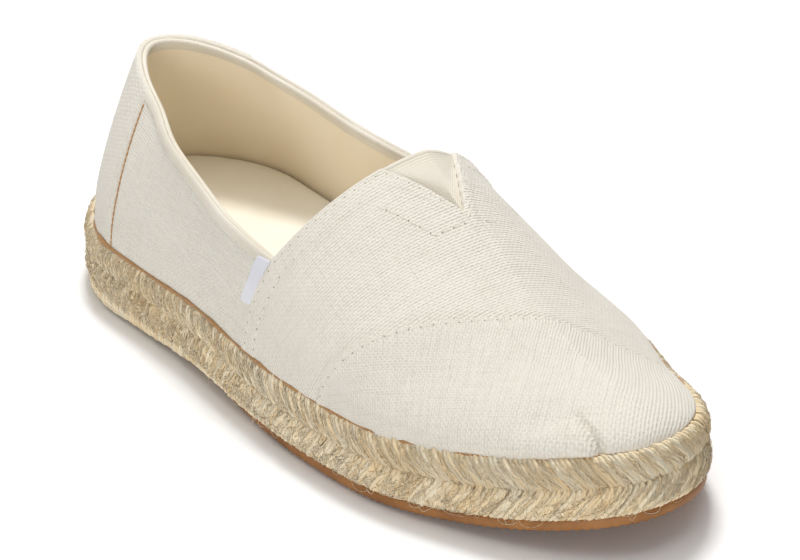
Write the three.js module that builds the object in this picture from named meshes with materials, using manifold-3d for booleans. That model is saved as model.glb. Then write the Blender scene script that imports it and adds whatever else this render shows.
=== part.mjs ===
// Espadrille for the right foot: canvas upper on a jute rope sole with a thin rubber outsole.
// Millimetres. +X points to the toe, +Y to the inner side of the foot, +Z up. The shoe stands on z = 0.
import * as THREE from "three";
import { mergeVertices } from "three/addons/utils/BufferGeometryUtils.js";
import Module from "manifold-3d";

const wasm = await Module();
wasm.setup();

// Driving dimensions
const SOLE_LENGTH = 252;
const BALL_HALF_WIDTH = 47;
const RUBBER_THICKNESS = 3.5;
const ROPE_THICKNESS = 16.5;
const TOE_SPRING = 9.4;
const WAIST_LIFT = 1;
const HEEL_LEDGE = 4.6;
const SIDE_LEDGE = 2.3;
const TOE_LEDGE = 5;
const WALL = 1.8;
const GAP = 0.3;
const SEAT_DEPTH = 2.5;
const INSOLE_THICKNESS = 7.7;
const INSOLE_ROUND = 1;
const INSTEP_HEIGHT = 47.5;
const COLLAR_HEIGHT = 46;
const HEEL_LEAN = 14.5;
const THROAT_CORNER_HEIGHT = 26.7;
const THROAT_RAKE = 12;
const VAMP_EDGE_RAKE = 7;
const VAMP_EDGE_BEND = 0.8;
const VAMP_STEP = 0.8;
const TOE_CAP_STEP = 0.6;
const GORE_LENGTH = 21.8;
const GORE_WIDTH = 24.5;
const GORE_THICKNESS = 1.2;
const GORE_SET_BACK = 0.4;
const BINDING_HEIGHT = 4;
const BINDING_THICKNESS = 0.8;
const HEEL_PANEL_LENGTH = 44.3;
const HEEL_PANEL_THICKNESS = 0.8;
const HEEL_TAB_WIDTH = 26;
const HEEL_TAB_HEIGHT = 11;
const HEEL_TAB_FOOT = 14;
const SIDE_TAB_WIDTH = 4.6;
const SIDE_TAB_LENGTH = 11;
const TAB_THICKNESS = 0.6;
const BRAID_ROWS = 2;
const STEPS_A_ROW = 6;
const LOBE_DEPTH = 1.7;
const EDGE_ROUND = 2.6;
const RUBBER_INSET = 1;
const RUBBER_INSET_BACK = 4.5;
const RUBBER_CHAMFER = 0.8;

// Plan outline of the sole. at: share of the sole length from the heel; outer and inner: share of
// the ball's half width, before the round ends narrow them.
const SOLE_OUTLINE = [
  { at: 0.0, outer: 0.66, inner: 0.66 },
  { at: 0.15, outer: 0.765, inner: 0.7 },
  { at: 0.32, outer: 0.81, inner: 0.66 },
  { at: 0.48, outer: 0.915, inner: 0.8 },
  { at: 0.6, outer: 0.965, inner: 1.02 },
  { at: 0.72, outer: 0.955, inner: 1.06 },
  { at: 0.84, outer: 0.88, inner: 0.96 },
  { at: 0.93, outer: 0.82, inner: 0.98 },
  { at: 1.0, outer: 0.76, inner: 1.0 },
];
const HEEL_ROUND = { length: 0.18, power: 2 };
const TOE_ROUND = { length: 0.36, power: 2.1 };

// Cross sections of the last. at: share of the upper's length from the heel; height: share of the
// instep height; outer and inner: fullness of each side, 1 is a straight gable and 2 an ellipse;
// ridge: how far the top lies to the inner side, a share of the ball's half width.
const LAST_SECTIONS = [
  { at: 0.0, height: 1.252, outer: 1.55, inner: 1.55, ridge: 0 },
  { at: 0.17, height: 1.32, outer: 1.45, inner: 1.6, ridge: 0 },
  { at: 0.27, height: 1.445, outer: 1.6, inner: 1.9, ridge: 0 },
  { at: 0.39, height: 1.552, outer: 1.65, inner: 2.1, ridge: 0.02 },
  { at: 0.51, height: 1.232, outer: 1.75, inner: 1.7, ridge: 0.08 },
  { at: 0.59, height: 1.052, outer: 1.85, inner: 1.3, ridge: 0.14 },
  { at: 0.68, height: 0.771, outer: 1.85, inner: 1.25, ridge: 0.135 },
  { at: 0.78, height: 0.496, outer: 1.85, inner: 1.2, ridge: 0.11 },
  { at: 0.88, height: 0.36, outer: 1.9, inner: 1.1, ridge: 0.065 },
  { at: 1.0, height: 0.28, outer: 2, inner: 1.6, ridge: 0.045 },
];
const TOE_DOME = { length: 0.24, power: 2.1 };
// The wall leans forward at the heel, less with each share of the length, and not past this one.
const LEAN_LENGTH = 0.3;
const LEAN_FADE = 1.5;

// Topline in side view. at: share of the sole length; height: share of the collar height.
const TOPLINE = [
  { at: 0.0, height: 0.97 },
  { at: 0.083, height: 1.029 },
  { at: 0.167, height: 0.966 },
  { at: 0.262, height: 0.828 },
  { at: 0.381, height: 0.697 },
  { at: 0.512, height: 0.58 },
];
const THROAT_AT = 0.512;
const GORE_MIDDLE = 0.106;

// Seam of the toe cap in plan: where it crosses the middle, how far it slants forward to the
// inner side, and how much it bows.
const TOE_SEAM = { at: 0.774, slant: 0.62, bow: 0.19 };
// Half width of the region that cuts the toe cap out, a share of the ball's half width.
const CAP_REACH = 1.2;

// Where the sole starts to rise to the toe, and where the waist is lifted, shares of its length.
const SPRING_START = 0.7;
const SPRING_LIMIT = 1.05;
const WAIST = { from: 0.28, to: 0.52 };

const STATIONS = 34;
const ARCH_STEPS = 9;
const LINE_STEPS = 14;
const EDGE_STEPS = 4;
const REACH = 200;
const WIDTH_STEPS = 400;

const SOLE_HEIGHT = RUBBER_THICKNESS + ROPE_THICKNESS;
const HEEL_X = -SOLE_LENGTH / 2;
const TOE_X = SOLE_LENGTH / 2;
const THROAT_X = HEEL_X + THROAT_AT * SOLE_LENGTH;

// A smooth curve through one column of a table, with no overshoot between rows.
function curveOf(rows, column) {
  const step = rows.slice(1).map((row, i) => row.at - rows[i].at);
  const rise = rows.slice(1).map((row, i) => (row[column] - rows[i][column]) / step[i]);
  const slope = rows.map((row, i) => {
    if (i === 0) return rise[0];
    if (i === rows.length - 1) return rise[i - 1];
    if (rise[i - 1] * rise[i] <= 0) return 0;
    const near = 2 * step[i] + step[i - 1];
    const far = step[i] + 2 * step[i - 1];
    return (near + far) / (near / rise[i - 1] + far / rise[i]);
  });
  return (at) => {
    const place = Math.min(Math.max(at, rows[0].at), rows[rows.length - 1].at);
    let i = 0;
    while (i < rows.length - 2 && place > rows[i + 1].at) i += 1;
    const t = (place - rows[i].at) / step[i];
    const start = rows[i][column];
    const end = rows[i + 1][column];
    return (
      start * (1 + 2 * t) * (1 - t) ** 2 +
      end * t * t * (3 - 2 * t) +
      step[i] * t * (1 - t) * (slope[i] * (1 - t) - slope[i + 1] * t)
    );
  };
}

const outerHalf = curveOf(SOLE_OUTLINE, "outer");
const innerHalf = curveOf(SOLE_OUTLINE, "inner");
const lastHeight = curveOf(LAST_SECTIONS, "height");
const outerFullness = curveOf(LAST_SECTIONS, "outer");
const innerFullness = curveOf(LAST_SECTIONS, "inner");
const ridgeShift = curveOf(LAST_SECTIONS, "ridge");
const toplineHeight = curveOf(TOPLINE, "height");

// Share of full size near a rounded end, distance being a share of the length from that end.
function roundEnd(distance, end) {
  const t = Math.max(0, 1 - distance / end.length);
  return (1 - t ** end.power) ** (1 / end.power);
}

function roundEnds(at) {
  return roundEnd(at, HEEL_ROUND) * roundEnd(1 - at, TOE_ROUND);
}

// Height of the outsole's underside above the floor.
function lift(x) {
  const at = (x - HEEL_X) / SOLE_LENGTH;
  const toe = Math.max(0, (at - SPRING_START) / (1 - SPRING_START));
  const waist = Math.min(Math.max((at - WAIST.from) / (WAIST.to - WAIST.from), 0), 1);
  return TOE_SPRING * Math.min(toe, SPRING_LIMIT) ** 2 + WAIST_LIFT * Math.sin(Math.PI * waist) ** 2;
}

function soleTop(x) {
  return lift(x) + SOLE_HEIGHT;
}

// Height of the collar's edge above the floor at x.
function topline(x) {
  return SOLE_HEIGHT + COLLAR_HEIGHT * toplineHeight((x - HEEL_X) / SOLE_LENGTH);
}

const THROAT_Z = SOLE_HEIGHT + THROAT_CORNER_HEIGHT;

// Stations from heel to toe, closer together at the round ends.
function stations(count) {
  return Array.from({ length: count }, (_, i) => (1 - Math.cos((Math.PI * i) / (count - 1))) / 2);
}

function solidOf(geometry) {
  const bare = geometry.clone();
  bare.deleteAttribute("normal");
  bare.deleteAttribute("uv");
  const merged = mergeVertices(bare, 1e-4);
  const index = Array.from(merged.index.array);
  const triVerts = [];
  for (let i = 0; i < index.length; i += 3) {
    const [a, b, c] = index.slice(i, i + 3);
    if (a !== b && b !== c && c !== a) triVerts.push(a, b, c);
  }
  const vertProperties = merged.attributes.position.array;
  const shape = new wasm.Mesh({ numProp: 3, vertProperties, triVerts: new Uint32Array(triVerts) });
  return new wasm.Manifold(shape);
}

// Closed body through rings of points, one ring a station. A ring starts at the outer side's foot,
// goes over the top and ends at the inner side's foot, and the first and last rings close to a line.
function loft(rings) {
  const size = rings[0].length;
  const position = rings.flat(2);
  const index = [];
  for (let i = 0; i < rings.length - 1; i += 1) {
    for (let j = 0; j < size; j += 1) {
      const next = (j + 1) % size;
      const a = i * size + j;
      const b = i * size + next;
      index.push(a, a + size, b + size, a, b + size, b);
    }
  }
  const geometry = new THREE.BufferGeometry();
  geometry.setAttribute("position", new THREE.Float32BufferAttribute(position, 3));
  geometry.setIndex(index);
  return solidOf(geometry);
}

// The last's form, grown by offset all round. Its foot reaches down into the rope sole's seat.
function form(offset) {
  const start = HEEL_X + HEEL_LEDGE - offset;
  const length = SOLE_LENGTH - HEEL_LEDGE - TOE_LEDGE + 2 * offset;
  const rings = stations(STATIONS).map((at) => {
    const x = start + length * at;
    const along = (x - HEEL_X) / SOLE_LENGTH;
    const round = roundEnds(at);
    const outer = (outerHalf(along) * BALL_HALF_WIDTH - SIDE_LEDGE + offset) * round;
    const inner = (innerHalf(along) * BALL_HALF_WIDTH - SIDE_LEDGE + offset) * round;
    const height = (lastHeight(at) * INSTEP_HEIGHT + offset) * roundEnd(1 - at, TOE_DOME);
    const ridge = ridgeShift(at) * BALL_HALF_WIDTH * round;
    const lean = (HEEL_LEAN / COLLAR_HEIGHT) * Math.max(0, 1 - at / LEAN_LENGTH) ** LEAN_FADE;
    const foot = soleTop(x);
    const seat = foot - SEAT_DEPTH - Math.max(offset, 0);
    const side = (half, fullness, sign) =>
      Array.from({ length: ARCH_STEPS }, (_, k) => {
        const rise = Math.sin((Math.PI / 2) * (k / ARCH_STEPS));
        const spread = (1 - rise ** fullness) ** (1 / fullness);
        return [x + lean * rise * height, sign * half * spread + ridge * rise, foot + rise * height];
      });
    return [
      [x, -outer, seat],
      ...side(outer, outerFullness(at), -1),
      [x + lean * height, ridge, foot + height],
      ...side(inner, innerFullness(at), 1).reverse(),
      [x, inner, seat],
    ];
  });
  return loft(rings);
}

// Slab of the sole's outline. levels: height above the underside and inset from the outline.
function slab(levels, insetAt = () => 0) {
  const rings = stations(STATIONS + 4).map((at) => {
    const side = (half, sign) =>
      levels.map((level) => {
        const inset = level.inset + insetAt(at);
        const x = HEEL_X + inset + (SOLE_LENGTH - 2 * inset) * at;
        const y = sign * (half(at) * BALL_HALF_WIDTH - inset) * roundEnds(at);
        return [x, y, lift(x) + level.height];
      });
    return [...side(outerHalf, -1), ...side(innerHalf, 1).reverse()];
  });
  return loft(rings);
}

// Straight-sided region that keeps its outline in side view: points are [x, z].
function sideRegion(points, from = -REACH, to = REACH) {
  const shape = new THREE.Shape(points.map(([x, z]) => new THREE.Vector2(x, z)));
  const geometry = new THREE.ExtrudeGeometry(shape, { depth: to - from, bevelEnabled: false });
  geometry.rotateX(Math.PI / 2);
  geometry.translate(0, to, 0);
  return solidOf(geometry);
}

// Region that keeps its outline in plan: points are [x, y].
function planRegion(points, from, to) {
  const shape = new THREE.Shape(points.map(([x, y]) => new THREE.Vector2(x, y)));
  const geometry = new THREE.ExtrudeGeometry(shape, { depth: to - from, bevelEnabled: false });
  geometry.translate(0, 0, from);
  return solidOf(geometry);
}

function line(from, to, heightAt) {
  return Array.from({ length: LINE_STEPS + 1 }, (_, i) => {
    const x = from + ((to - from) * i) / LINE_STEPS;
    return [x, heightAt(x)];
  });
}

// x of the vamp's back edge at height z: it rakes forward from the sole to the throat's corner.
function vampEdge(z) {
  const share = (THROAT_Z - z) / THROAT_CORNER_HEIGHT;
  return THROAT_X - VAMP_EDGE_RAKE * Math.max(share, 0) ** VAMP_EDGE_BEND;
}

// x of the throat's edge at height z above its corner.
function throatEdge(z) {
  return THROAT_X + (THROAT_RAKE * (z - THROAT_Z)) / (INSTEP_HEIGHT - THROAT_CORNER_HEIGHT);
}

// Everything above the topline lowered by drop, and behind the throat's edge.
function opening(drop) {
  return sideRegion([
    [-REACH, REACH],
    [-REACH, topline(HEEL_X) - drop],
    ...line(HEEL_X, THROAT_X, (x) => topline(x) - drop),
    [THROAT_X, THROAT_Z],
    [throatEdge(THROAT_Z + INSTEP_HEIGHT), THROAT_Z + INSTEP_HEIGHT],
    [throatEdge(THROAT_Z + INSTEP_HEIGHT), REACH],
  ]);
}

function vampRegion() {
  const foot = soleTop(THROAT_X) + GAP;
  const edge = Array.from({ length: EDGE_STEPS }, (_, i) => {
    const z = THROAT_Z + ((foot - THROAT_Z) * i) / EDGE_STEPS;
    return [vampEdge(z), z];
  });
  return sideRegion([
    [REACH, REACH],
    [THROAT_X, REACH],
    ...edge,
    ...line(vampEdge(foot), TOE_X + TOE_LEDGE, (x) => soleTop(x) + GAP),
    [REACH, soleTop(TOE_X) + GAP],
  ]);
}

function toeSeam(y) {
  const middle = HEEL_X + TOE_SEAM.at * SOLE_LENGTH;
  return middle + TOE_SEAM.slant * y - (TOE_SEAM.bow * y * y) / BALL_HALF_WIDTH;
}

function toeCapRegion() {
  const wide = BALL_HALF_WIDTH * CAP_REACH;
  const seam = line(-wide, wide, toeSeam).map(([y, x]) => [x, y]);
  return planRegion([[REACH, wide], [REACH, -wide], ...seam].reverse(), 0, REACH);
}

// Triangle of the elastic V, narrowed by clearance on its two long sides.
function goreRegion(clearance) {
  const middle = GORE_MIDDLE * BALL_HALF_WIDTH;
  const back = throatEdge(SOLE_HEIGHT + INSTEP_HEIGHT);
  const apex = back + GORE_LENGTH - clearance * (1 + (2 * GORE_LENGTH) / GORE_WIDTH);
  const spread = (reach) => (GORE_WIDTH / 2 / GORE_LENGTH) * reach;
  const tail = apex - 2 * GORE_LENGTH;
  return planRegion(
    [
      [apex, middle],
      [tail, middle + spread(apex - tail)],
      [tail, middle - spread(apex - tail)],
    ],
    THROAT_Z - SEAT_DEPTH,
    REACH,
  );
}

// Band of the collar binding, from the topline down, which ends short of the vamp's edge.
function bindingBand() {
  const front = vampEdge(topline(THROAT_X) - BINDING_HEIGHT) - VAMP_STEP;
  return sideRegion([
    [-REACH, topline(HEEL_X)],
    [-REACH, topline(HEEL_X) - BINDING_HEIGHT],
    ...line(HEEL_X, front, (x) => topline(x) - BINDING_HEIGHT),
    ...line(front, HEEL_X, topline),
  ]);
}

function buildUpper() {
  const vamp = form(VAMP_STEP).intersect(vampRegion());
  const toeCap = form(VAMP_STEP + TOE_CAP_STEP).intersect(vampRegion()).intersect(toeCapRegion());
  return form(0)
    .add(vamp)
    .add(toeCap)
    .subtract(form(-WALL))
    .subtract(seatFloorCut())
    .subtract(opening(BINDING_THICKNESS + GAP))
    .subtract(goreRegion(0));
}

// Removes the last's closed underside, so that the upper stays open below.
function seatFloorCut() {
  return slab([
    { height: -REACH, inset: SIDE_LEDGE + WALL },
    { height: SOLE_HEIGHT, inset: SIDE_LEDGE + WALL },
  ]);
}

function buildGore() {
  return form(-GORE_SET_BACK)
    .subtract(form(-GORE_SET_BACK - GORE_THICKNESS))
    .intersect(goreRegion(GAP))
    .subtract(opening(0));
}

// Folded strip over the collar's edge, with a slot for the upper's wall.
function buildBinding() {
  const slot = form(GAP).subtract(form(-WALL - GAP));
  return form(GAP + BINDING_THICKNESS)
    .subtract(form(-WALL - GAP - BINDING_THICKNESS))
    .intersect(bindingBand())
    .subtract(slot.subtract(opening(BINDING_THICKNESS)));
}

function buildHeelPanel() {
  const front = HEEL_X + HEEL_PANEL_LENGTH;
  const drop = BINDING_HEIGHT + GAP;
  const region = sideRegion([
    ...line(-REACH, front, (x) => soleTop(x) + GAP),
    ...line(front, HEEL_X, (x) => topline(x) - drop),
    [-REACH, topline(HEEL_X) - drop],
  ]);
  return form(GAP + HEEL_PANEL_THICKNESS).subtract(form(GAP)).intersect(region);
}

function buildHeelTab() {
  const inside = 2 * GAP + HEEL_PANEL_THICKNESS;
  const foot = SOLE_HEIGHT + HEEL_TAB_FOOT;
  const front = HEEL_X + SOLE_LENGTH * HEEL_ROUND.length;
  const region = sideRegion(
    [
      [-REACH, foot],
      [front, foot],
      [front, foot + HEEL_TAB_HEIGHT],
      [-REACH, foot + HEEL_TAB_HEIGHT],
    ],
    -HEEL_TAB_WIDTH / 2,
    HEEL_TAB_WIDTH / 2,
  );
  return form(inside + TAB_THICKNESS).subtract(form(inside)).intersect(region);
}

function buildSideTab() {
  const top = topline(THROAT_X) - BINDING_HEIGHT - 2 * GAP;
  const foot = top - SIDE_TAB_LENGTH;
  const front = (z) => vampEdge(z) - VAMP_STEP;
  const region = sideRegion(
    [
      [front(foot) - SIDE_TAB_WIDTH, foot],
      [front(foot), foot],
      [front(top), top],
      [front(top) - SIDE_TAB_WIDTH, top],
    ],
    -REACH,
    0,
  );
  return form(GAP + TAB_THICKNESS).subtract(form(GAP)).intersect(region);
}

// Two rows of braid: each is a round lobe, and the upper row rounds over to the ledge.
function ropeLevels() {
  const count = BRAID_ROWS * STEPS_A_ROW;
  return Array.from({ length: count + 1 }, (_, i) => {
    const share = i / count;
    const across = 2 * ((share * BRAID_ROWS) % 1) - 1;
    const lobe = LOBE_DEPTH * (1 - Math.sqrt(1 - across ** 2));
    const inset = i === count ? EDGE_ROUND : lobe;
    return { height: RUBBER_THICKNESS + GAP + share * (ROPE_THICKNESS - GAP), inset };
  });
}

function buildRopeSole() {
  const seat = form(GAP);
  return slab(ropeLevels()).subtract(seat);
}

function buildOutsole() {
  const back = (at) => {
    const share = Math.min(Math.max((at - WAIST.from) / (SPRING_START - WAIST.from), 0), 1);
    return (RUBBER_INSET_BACK - RUBBER_INSET) * (1 - share) ** 2;
  };
  const levels = [
    { height: 0, inset: RUBBER_INSET + RUBBER_CHAMFER },
    { height: RUBBER_CHAMFER, inset: RUBBER_INSET },
    { height: RUBBER_THICKNESS, inset: RUBBER_INSET },
  ];
  return slab(levels, back);
}

function buildInsole() {
  const foot = SOLE_HEIGHT - SEAT_DEPTH;
  const inset = SIDE_LEDGE + WALL + GAP;
  const levels = [
    { height: foot, inset },
    { height: foot + INSOLE_THICKNESS - INSOLE_ROUND, inset },
    { height: foot + INSOLE_THICKNESS, inset: inset + INSOLE_ROUND },
  ];
  return slab(levels).intersect(form(-WALL - GAP));
}

function pieceOf(name, solid, color, roughness) {
  const shape = solid.getMesh();
  const geometry = new THREE.BufferGeometry();
  geometry.setAttribute("position", new THREE.BufferAttribute(shape.vertProperties, 3));
  geometry.setIndex(new THREE.BufferAttribute(shape.triVerts, 1));
  geometry.computeVertexNormals();
  const material = new THREE.MeshStandardMaterial({ color, roughness, metalness: 0 });
  const mesh = new THREE.Mesh(geometry, material);
  mesh.name = name;
  return mesh;
}

const CANVAS = "#e9e5db";
const LINING = "#dccba5";
const JUTE = "#d2bb91";
const RUBBER = "#b87c48";

const shoe = new THREE.Group();
shoe.add(
  pieceOf("outsole", buildOutsole(), RUBBER, 0.6),
  pieceOf("rope_sole", buildRopeSole(), JUTE, 0.95),
  pieceOf("insole", buildInsole(), LINING, 0.9),
  pieceOf("upper", buildUpper(), CANVAS, 0.9),
  pieceOf("heel_panel", buildHeelPanel(), CANVAS, 0.9),
  pieceOf("collar_binding", buildBinding(), CANVAS, 0.9),
  pieceOf("elastic_gore", buildGore(), CANVAS, 0.85),
  pieceOf("side_tab", buildSideTab(), CANVAS, 0.8),
  pieceOf("heel_tab", buildHeelTab(), LINING, 0.8),
);

// The origin is under the middle of the sole, which is the widest piece.
const sides = stations(WIDTH_STEPS).map((at) => [outerHalf(at) * roundEnds(at), innerHalf(at) * roundEnds(at)]);
const outerReach = Math.max(...sides.map(([outer]) => outer)) * BALL_HALF_WIDTH;
const innerReach = Math.max(...sides.map(([, inner]) => inner)) * BALL_HALF_WIDTH;
shoe.position.y = (outerReach - innerReach) / 2;

const group = new THREE.Group();
group.add(shoe);

export default group;
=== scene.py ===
"""Looks of the espadrille for the right foot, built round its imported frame.

Lengths here are millimetres until a mesh is made, and a mesh is in metres. +X points to the toe,
+Y to the inner side of the foot and +Z up, as in the frame.
"""

import math

import bmesh
import bpy
import numpy as np
from mathutils import Matrix, Vector


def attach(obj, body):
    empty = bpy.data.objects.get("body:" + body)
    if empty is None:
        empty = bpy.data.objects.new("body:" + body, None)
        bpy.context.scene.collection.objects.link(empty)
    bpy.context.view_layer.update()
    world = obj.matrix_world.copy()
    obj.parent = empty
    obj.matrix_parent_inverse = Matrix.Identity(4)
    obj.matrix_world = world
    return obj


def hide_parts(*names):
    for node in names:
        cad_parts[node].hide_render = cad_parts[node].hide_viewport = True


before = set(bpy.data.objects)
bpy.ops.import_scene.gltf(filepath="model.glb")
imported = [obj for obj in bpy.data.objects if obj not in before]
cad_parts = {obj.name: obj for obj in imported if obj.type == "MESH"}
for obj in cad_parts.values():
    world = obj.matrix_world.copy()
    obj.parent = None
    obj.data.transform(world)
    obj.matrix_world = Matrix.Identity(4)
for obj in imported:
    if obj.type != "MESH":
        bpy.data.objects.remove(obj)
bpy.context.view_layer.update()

MM = 0.001

# Sizes of the shoe, the same as its solids have
SOLE_LENGTH = 252.0
BALL_HALF_WIDTH = 47.0
RUBBER_THICKNESS = 3.5
ROPE_THICKNESS = 16.5
TOE_SPRING = 9.4
WAIST_LIFT = 1.0
HEEL_LEDGE = 4.6
SIDE_LEDGE = 2.3
TOE_LEDGE = 5.0
WALL = 1.8
SEAT_DEPTH = 2.5
INSOLE_THICKNESS = 7.7
INSTEP_HEIGHT = 47.5
COLLAR_HEIGHT = 46.0
HEEL_LEAN = 14.5
LEAN_LENGTH = 0.3
LEAN_FADE = 1.5
THROAT_CORNER_HEIGHT = 26.7
THROAT_RAKE = 12.0
VAMP_EDGE_RAKE = 7.0
VAMP_EDGE_BEND = 0.8
GORE_LENGTH = 21.8
GORE_WIDTH = 24.5
GORE_MIDDLE = 0.106
HEEL_PANEL_LENGTH = 44.3
HEEL_TAB_WIDTH = 26.0
HEEL_TAB_HEIGHT = 11.0
HEEL_TAB_FOOT = 14.0
SIDE_TAB_WIDTH = 4.6
RUBBER_INSET = 1.0
RUBBER_INSET_BACK = 4.5
SPRING_START = 0.7
WAIST_FROM, WAIST_TO = 0.28, 0.52
THROAT_AT = 0.512

SOLE_OUTLINE = [
    {"at": 0.0, "outer": 0.66, "inner": 0.66},
    {"at": 0.15, "outer": 0.765, "inner": 0.7},
    {"at": 0.32, "outer": 0.81, "inner": 0.66},
    {"at": 0.48, "outer": 0.915, "inner": 0.8},
    {"at": 0.6, "outer": 0.965, "inner": 1.02},
    {"at": 0.72, "outer": 0.955, "inner": 1.06},
    {"at": 0.84, "outer": 0.88, "inner": 0.96},
    {"at": 0.93, "outer": 0.82, "inner": 0.98},
    {"at": 1.0, "outer": 0.76, "inner": 1.0},
]
HEEL_ROUND = {"length": 0.18, "power": 2.0}
TOE_ROUND = {"length": 0.36, "power": 2.1}
TOE_DOME = {"length": 0.24, "power": 2.1}
LAST_SECTIONS = [
    {"at": 0.0, "height": 1.252, "outer": 1.55, "inner": 1.55, "ridge": 0.0},
    {"at": 0.17, "height": 1.32, "outer": 1.45, "inner": 1.6, "ridge": 0.0},
    {"at": 0.27, "height": 1.445, "outer": 1.6, "inner": 1.9, "ridge": 0.0},
    {"at": 0.39, "height": 1.552, "outer": 1.65, "inner": 2.1, "ridge": 0.02},
    {"at": 0.51, "height": 1.232, "outer": 1.75, "inner": 1.7, "ridge": 0.08},
    {"at": 0.59, "height": 1.052, "outer": 1.85, "inner": 1.3, "ridge": 0.14},
    {"at": 0.68, "height": 0.771, "outer": 1.85, "inner": 1.25, "ridge": 0.135},
    {"at": 0.78, "height": 0.496, "outer": 1.85, "inner": 1.2, "ridge": 0.11},
    {"at": 0.88, "height": 0.36, "outer": 1.9, "inner": 1.1, "ridge": 0.065},
    {"at": 1.0, "height": 0.28, "outer": 2.0, "inner": 1.6, "ridge": 0.045},
]
TOPLINE = [
    {"at": 0.0, "height": 0.97},
    {"at": 0.083, "height": 1.029},
    {"at": 0.167, "height": 0.966},
    {"at": 0.262, "height": 0.828},
    {"at": 0.381, "height": 0.697},
    {"at": 0.512, "height": 0.58},
]
TOE_SEAM = {"at": 0.774, "slant": 0.62, "bow": 0.19}

SOLE_HEIGHT = RUBBER_THICKNESS + ROPE_THICKNESS
HEEL_X = -SOLE_LENGTH / 2
TOE_X = SOLE_LENGTH / 2
THROAT_X = HEEL_X + THROAT_AT * SOLE_LENGTH
THROAT_Z = SOLE_HEIGHT + THROAT_CORNER_HEIGHT

# Camera of the photograph, fitted to both shoes, and the part of its picture that the shoe fills
CAMERA_AZIMUTH = 53.97
CAMERA_ELEVATION = 25.15
CAMERA_ROLL = -1.94
CAMERA_DISTANCE = 1150.65
CAMERA_AIM = (-41.96, 75.44, 0.0)
FOCAL_PIXELS = 3100.0
PICTURE_SIZE = (800, 560)
SHOE_MIDDLE_PIXEL = (312, 305)
ENLARGEMENT = 1.27


# Maths of the last and the sole
def curve_of(rows, column):
    """Smooth curve through one column of a table, with no overshoot between its rows."""
    at = np.array([row["at"] for row in rows])
    value = np.array([row[column] for row in rows])
    step = np.diff(at)
    rise = np.diff(value) / step
    slope = np.zeros(len(rows))
    slope[0], slope[-1] = rise[0], rise[-1]
    for i in range(1, len(rows) - 1):
        if rise[i - 1] * rise[i] > 0:
            near = 2 * step[i] + step[i - 1]
            far = step[i] + 2 * step[i - 1]
            slope[i] = (near + far) / (near / rise[i - 1] + far / rise[i])

    def curve(place):
        place = np.clip(place, at[0], at[-1])
        i = np.clip(np.searchsorted(at, place, side="right") - 1, 0, len(step) - 1)
        t = (place - at[i]) / step[i]
        ends = value[i] * (1 + 2 * t) * (1 - t) ** 2 + value[i + 1] * t * t * (3 - 2 * t)
        return ends + step[i] * t * (1 - t) * (slope[i] * (1 - t) - slope[i + 1] * t)

    return curve


outer_half = curve_of(SOLE_OUTLINE, "outer")
inner_half = curve_of(SOLE_OUTLINE, "inner")
last_height = curve_of(LAST_SECTIONS, "height")
outer_fullness = curve_of(LAST_SECTIONS, "outer")
inner_fullness = curve_of(LAST_SECTIONS, "inner")
ridge_shift = curve_of(LAST_SECTIONS, "ridge")
topline_height = curve_of(TOPLINE, "height")


def smooth(start, end, value):
    t = np.clip((value - start) / (end - start), 0, 1)
    return t * t * (3 - 2 * t)


def round_end(distance, end):
    t = np.maximum(0, 1 - distance / end["length"])
    return np.maximum(1 - t ** end["power"], 0) ** (1 / end["power"])


def round_ends(at):
    return round_end(at, HEEL_ROUND) * round_end(1 - at, TOE_ROUND)


def station(turn):
    """Share of the length, crowded at both round ends, as turn goes from 0 to 1."""
    return (1 - np.cos(math.pi * np.asarray(turn, float))) / 2


def side_shift():
    """Moves the sole's width to the middle of the frame."""
    at = station(np.linspace(0, 1, 400))
    outer = np.max(outer_half(at) * round_ends(at))
    inner = np.max(inner_half(at) * round_ends(at))
    return (outer - inner) * BALL_HALF_WIDTH / 2


SHIFT_Y = side_shift()


def lift(x):
    """Height of the outsole's underside above the floor."""
    at = (x - HEEL_X) / SOLE_LENGTH
    toe = np.clip((at - SPRING_START) / (1 - SPRING_START), 0, 1.05)
    waist = np.clip((at - WAIST_FROM) / (WAIST_TO - WAIST_FROM), 0, 1)
    return TOE_SPRING * toe ** 2 + WAIST_LIFT * np.sin(math.pi * waist) ** 2


def sole_top(x):
    return lift(x) + SOLE_HEIGHT


def topline(x):
    return SOLE_HEIGHT + COLLAR_HEIGHT * topline_height((x - HEEL_X) / SOLE_LENGTH)


def bare_last(turn, over):
    """Points on the last. turn goes from heel, 0, to toe, 1; over from the outer foot, -1, across
    the ridge, 0, to the inner foot, 1, and past either foot down into the sole."""
    turn, over = np.broadcast_arrays(np.asarray(turn, float), np.asarray(over, float))
    at = station(turn)
    inner = over > 0
    x = HEEL_X + HEEL_LEDGE + (SOLE_LENGTH - HEEL_LEDGE - TOE_LEDGE) * at
    along = (x - HEEL_X) / SOLE_LENGTH
    ends = round_ends(at)
    half = np.where(inner, inner_half(along), outer_half(along)) * BALL_HALF_WIDTH - SIDE_LEDGE
    fullness = np.where(inner, inner_fullness(at), outer_fullness(at))
    height = last_height(at) * INSTEP_HEIGHT * round_end(1 - at, TOE_DOME)
    lean = HEEL_LEAN / COLLAR_HEIGHT * np.maximum(0, 1 - at / LEAN_LENGTH) ** LEAN_FADE
    rise = np.sin(math.pi / 2 * np.clip(1 - np.abs(over), 0, 1))
    spread = np.maximum(1 - rise ** fullness, 0) ** (1 / fullness)
    side = np.where(inner, 1.0, -1.0)
    y = side * half * ends * spread + ridge_shift(at) * BALL_HALF_WIDTH * ends * rise + SHIFT_Y
    below = np.maximum(np.abs(over) - 1, 0) * SEAT_DEPTH
    return np.stack([x + lean * rise * height, y, sole_top(x) + rise * height - below], -1)


def unit(vectors):
    size = np.linalg.norm(vectors, axis=-1, keepdims=True)
    return vectors / np.maximum(size, 1e-9)


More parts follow.
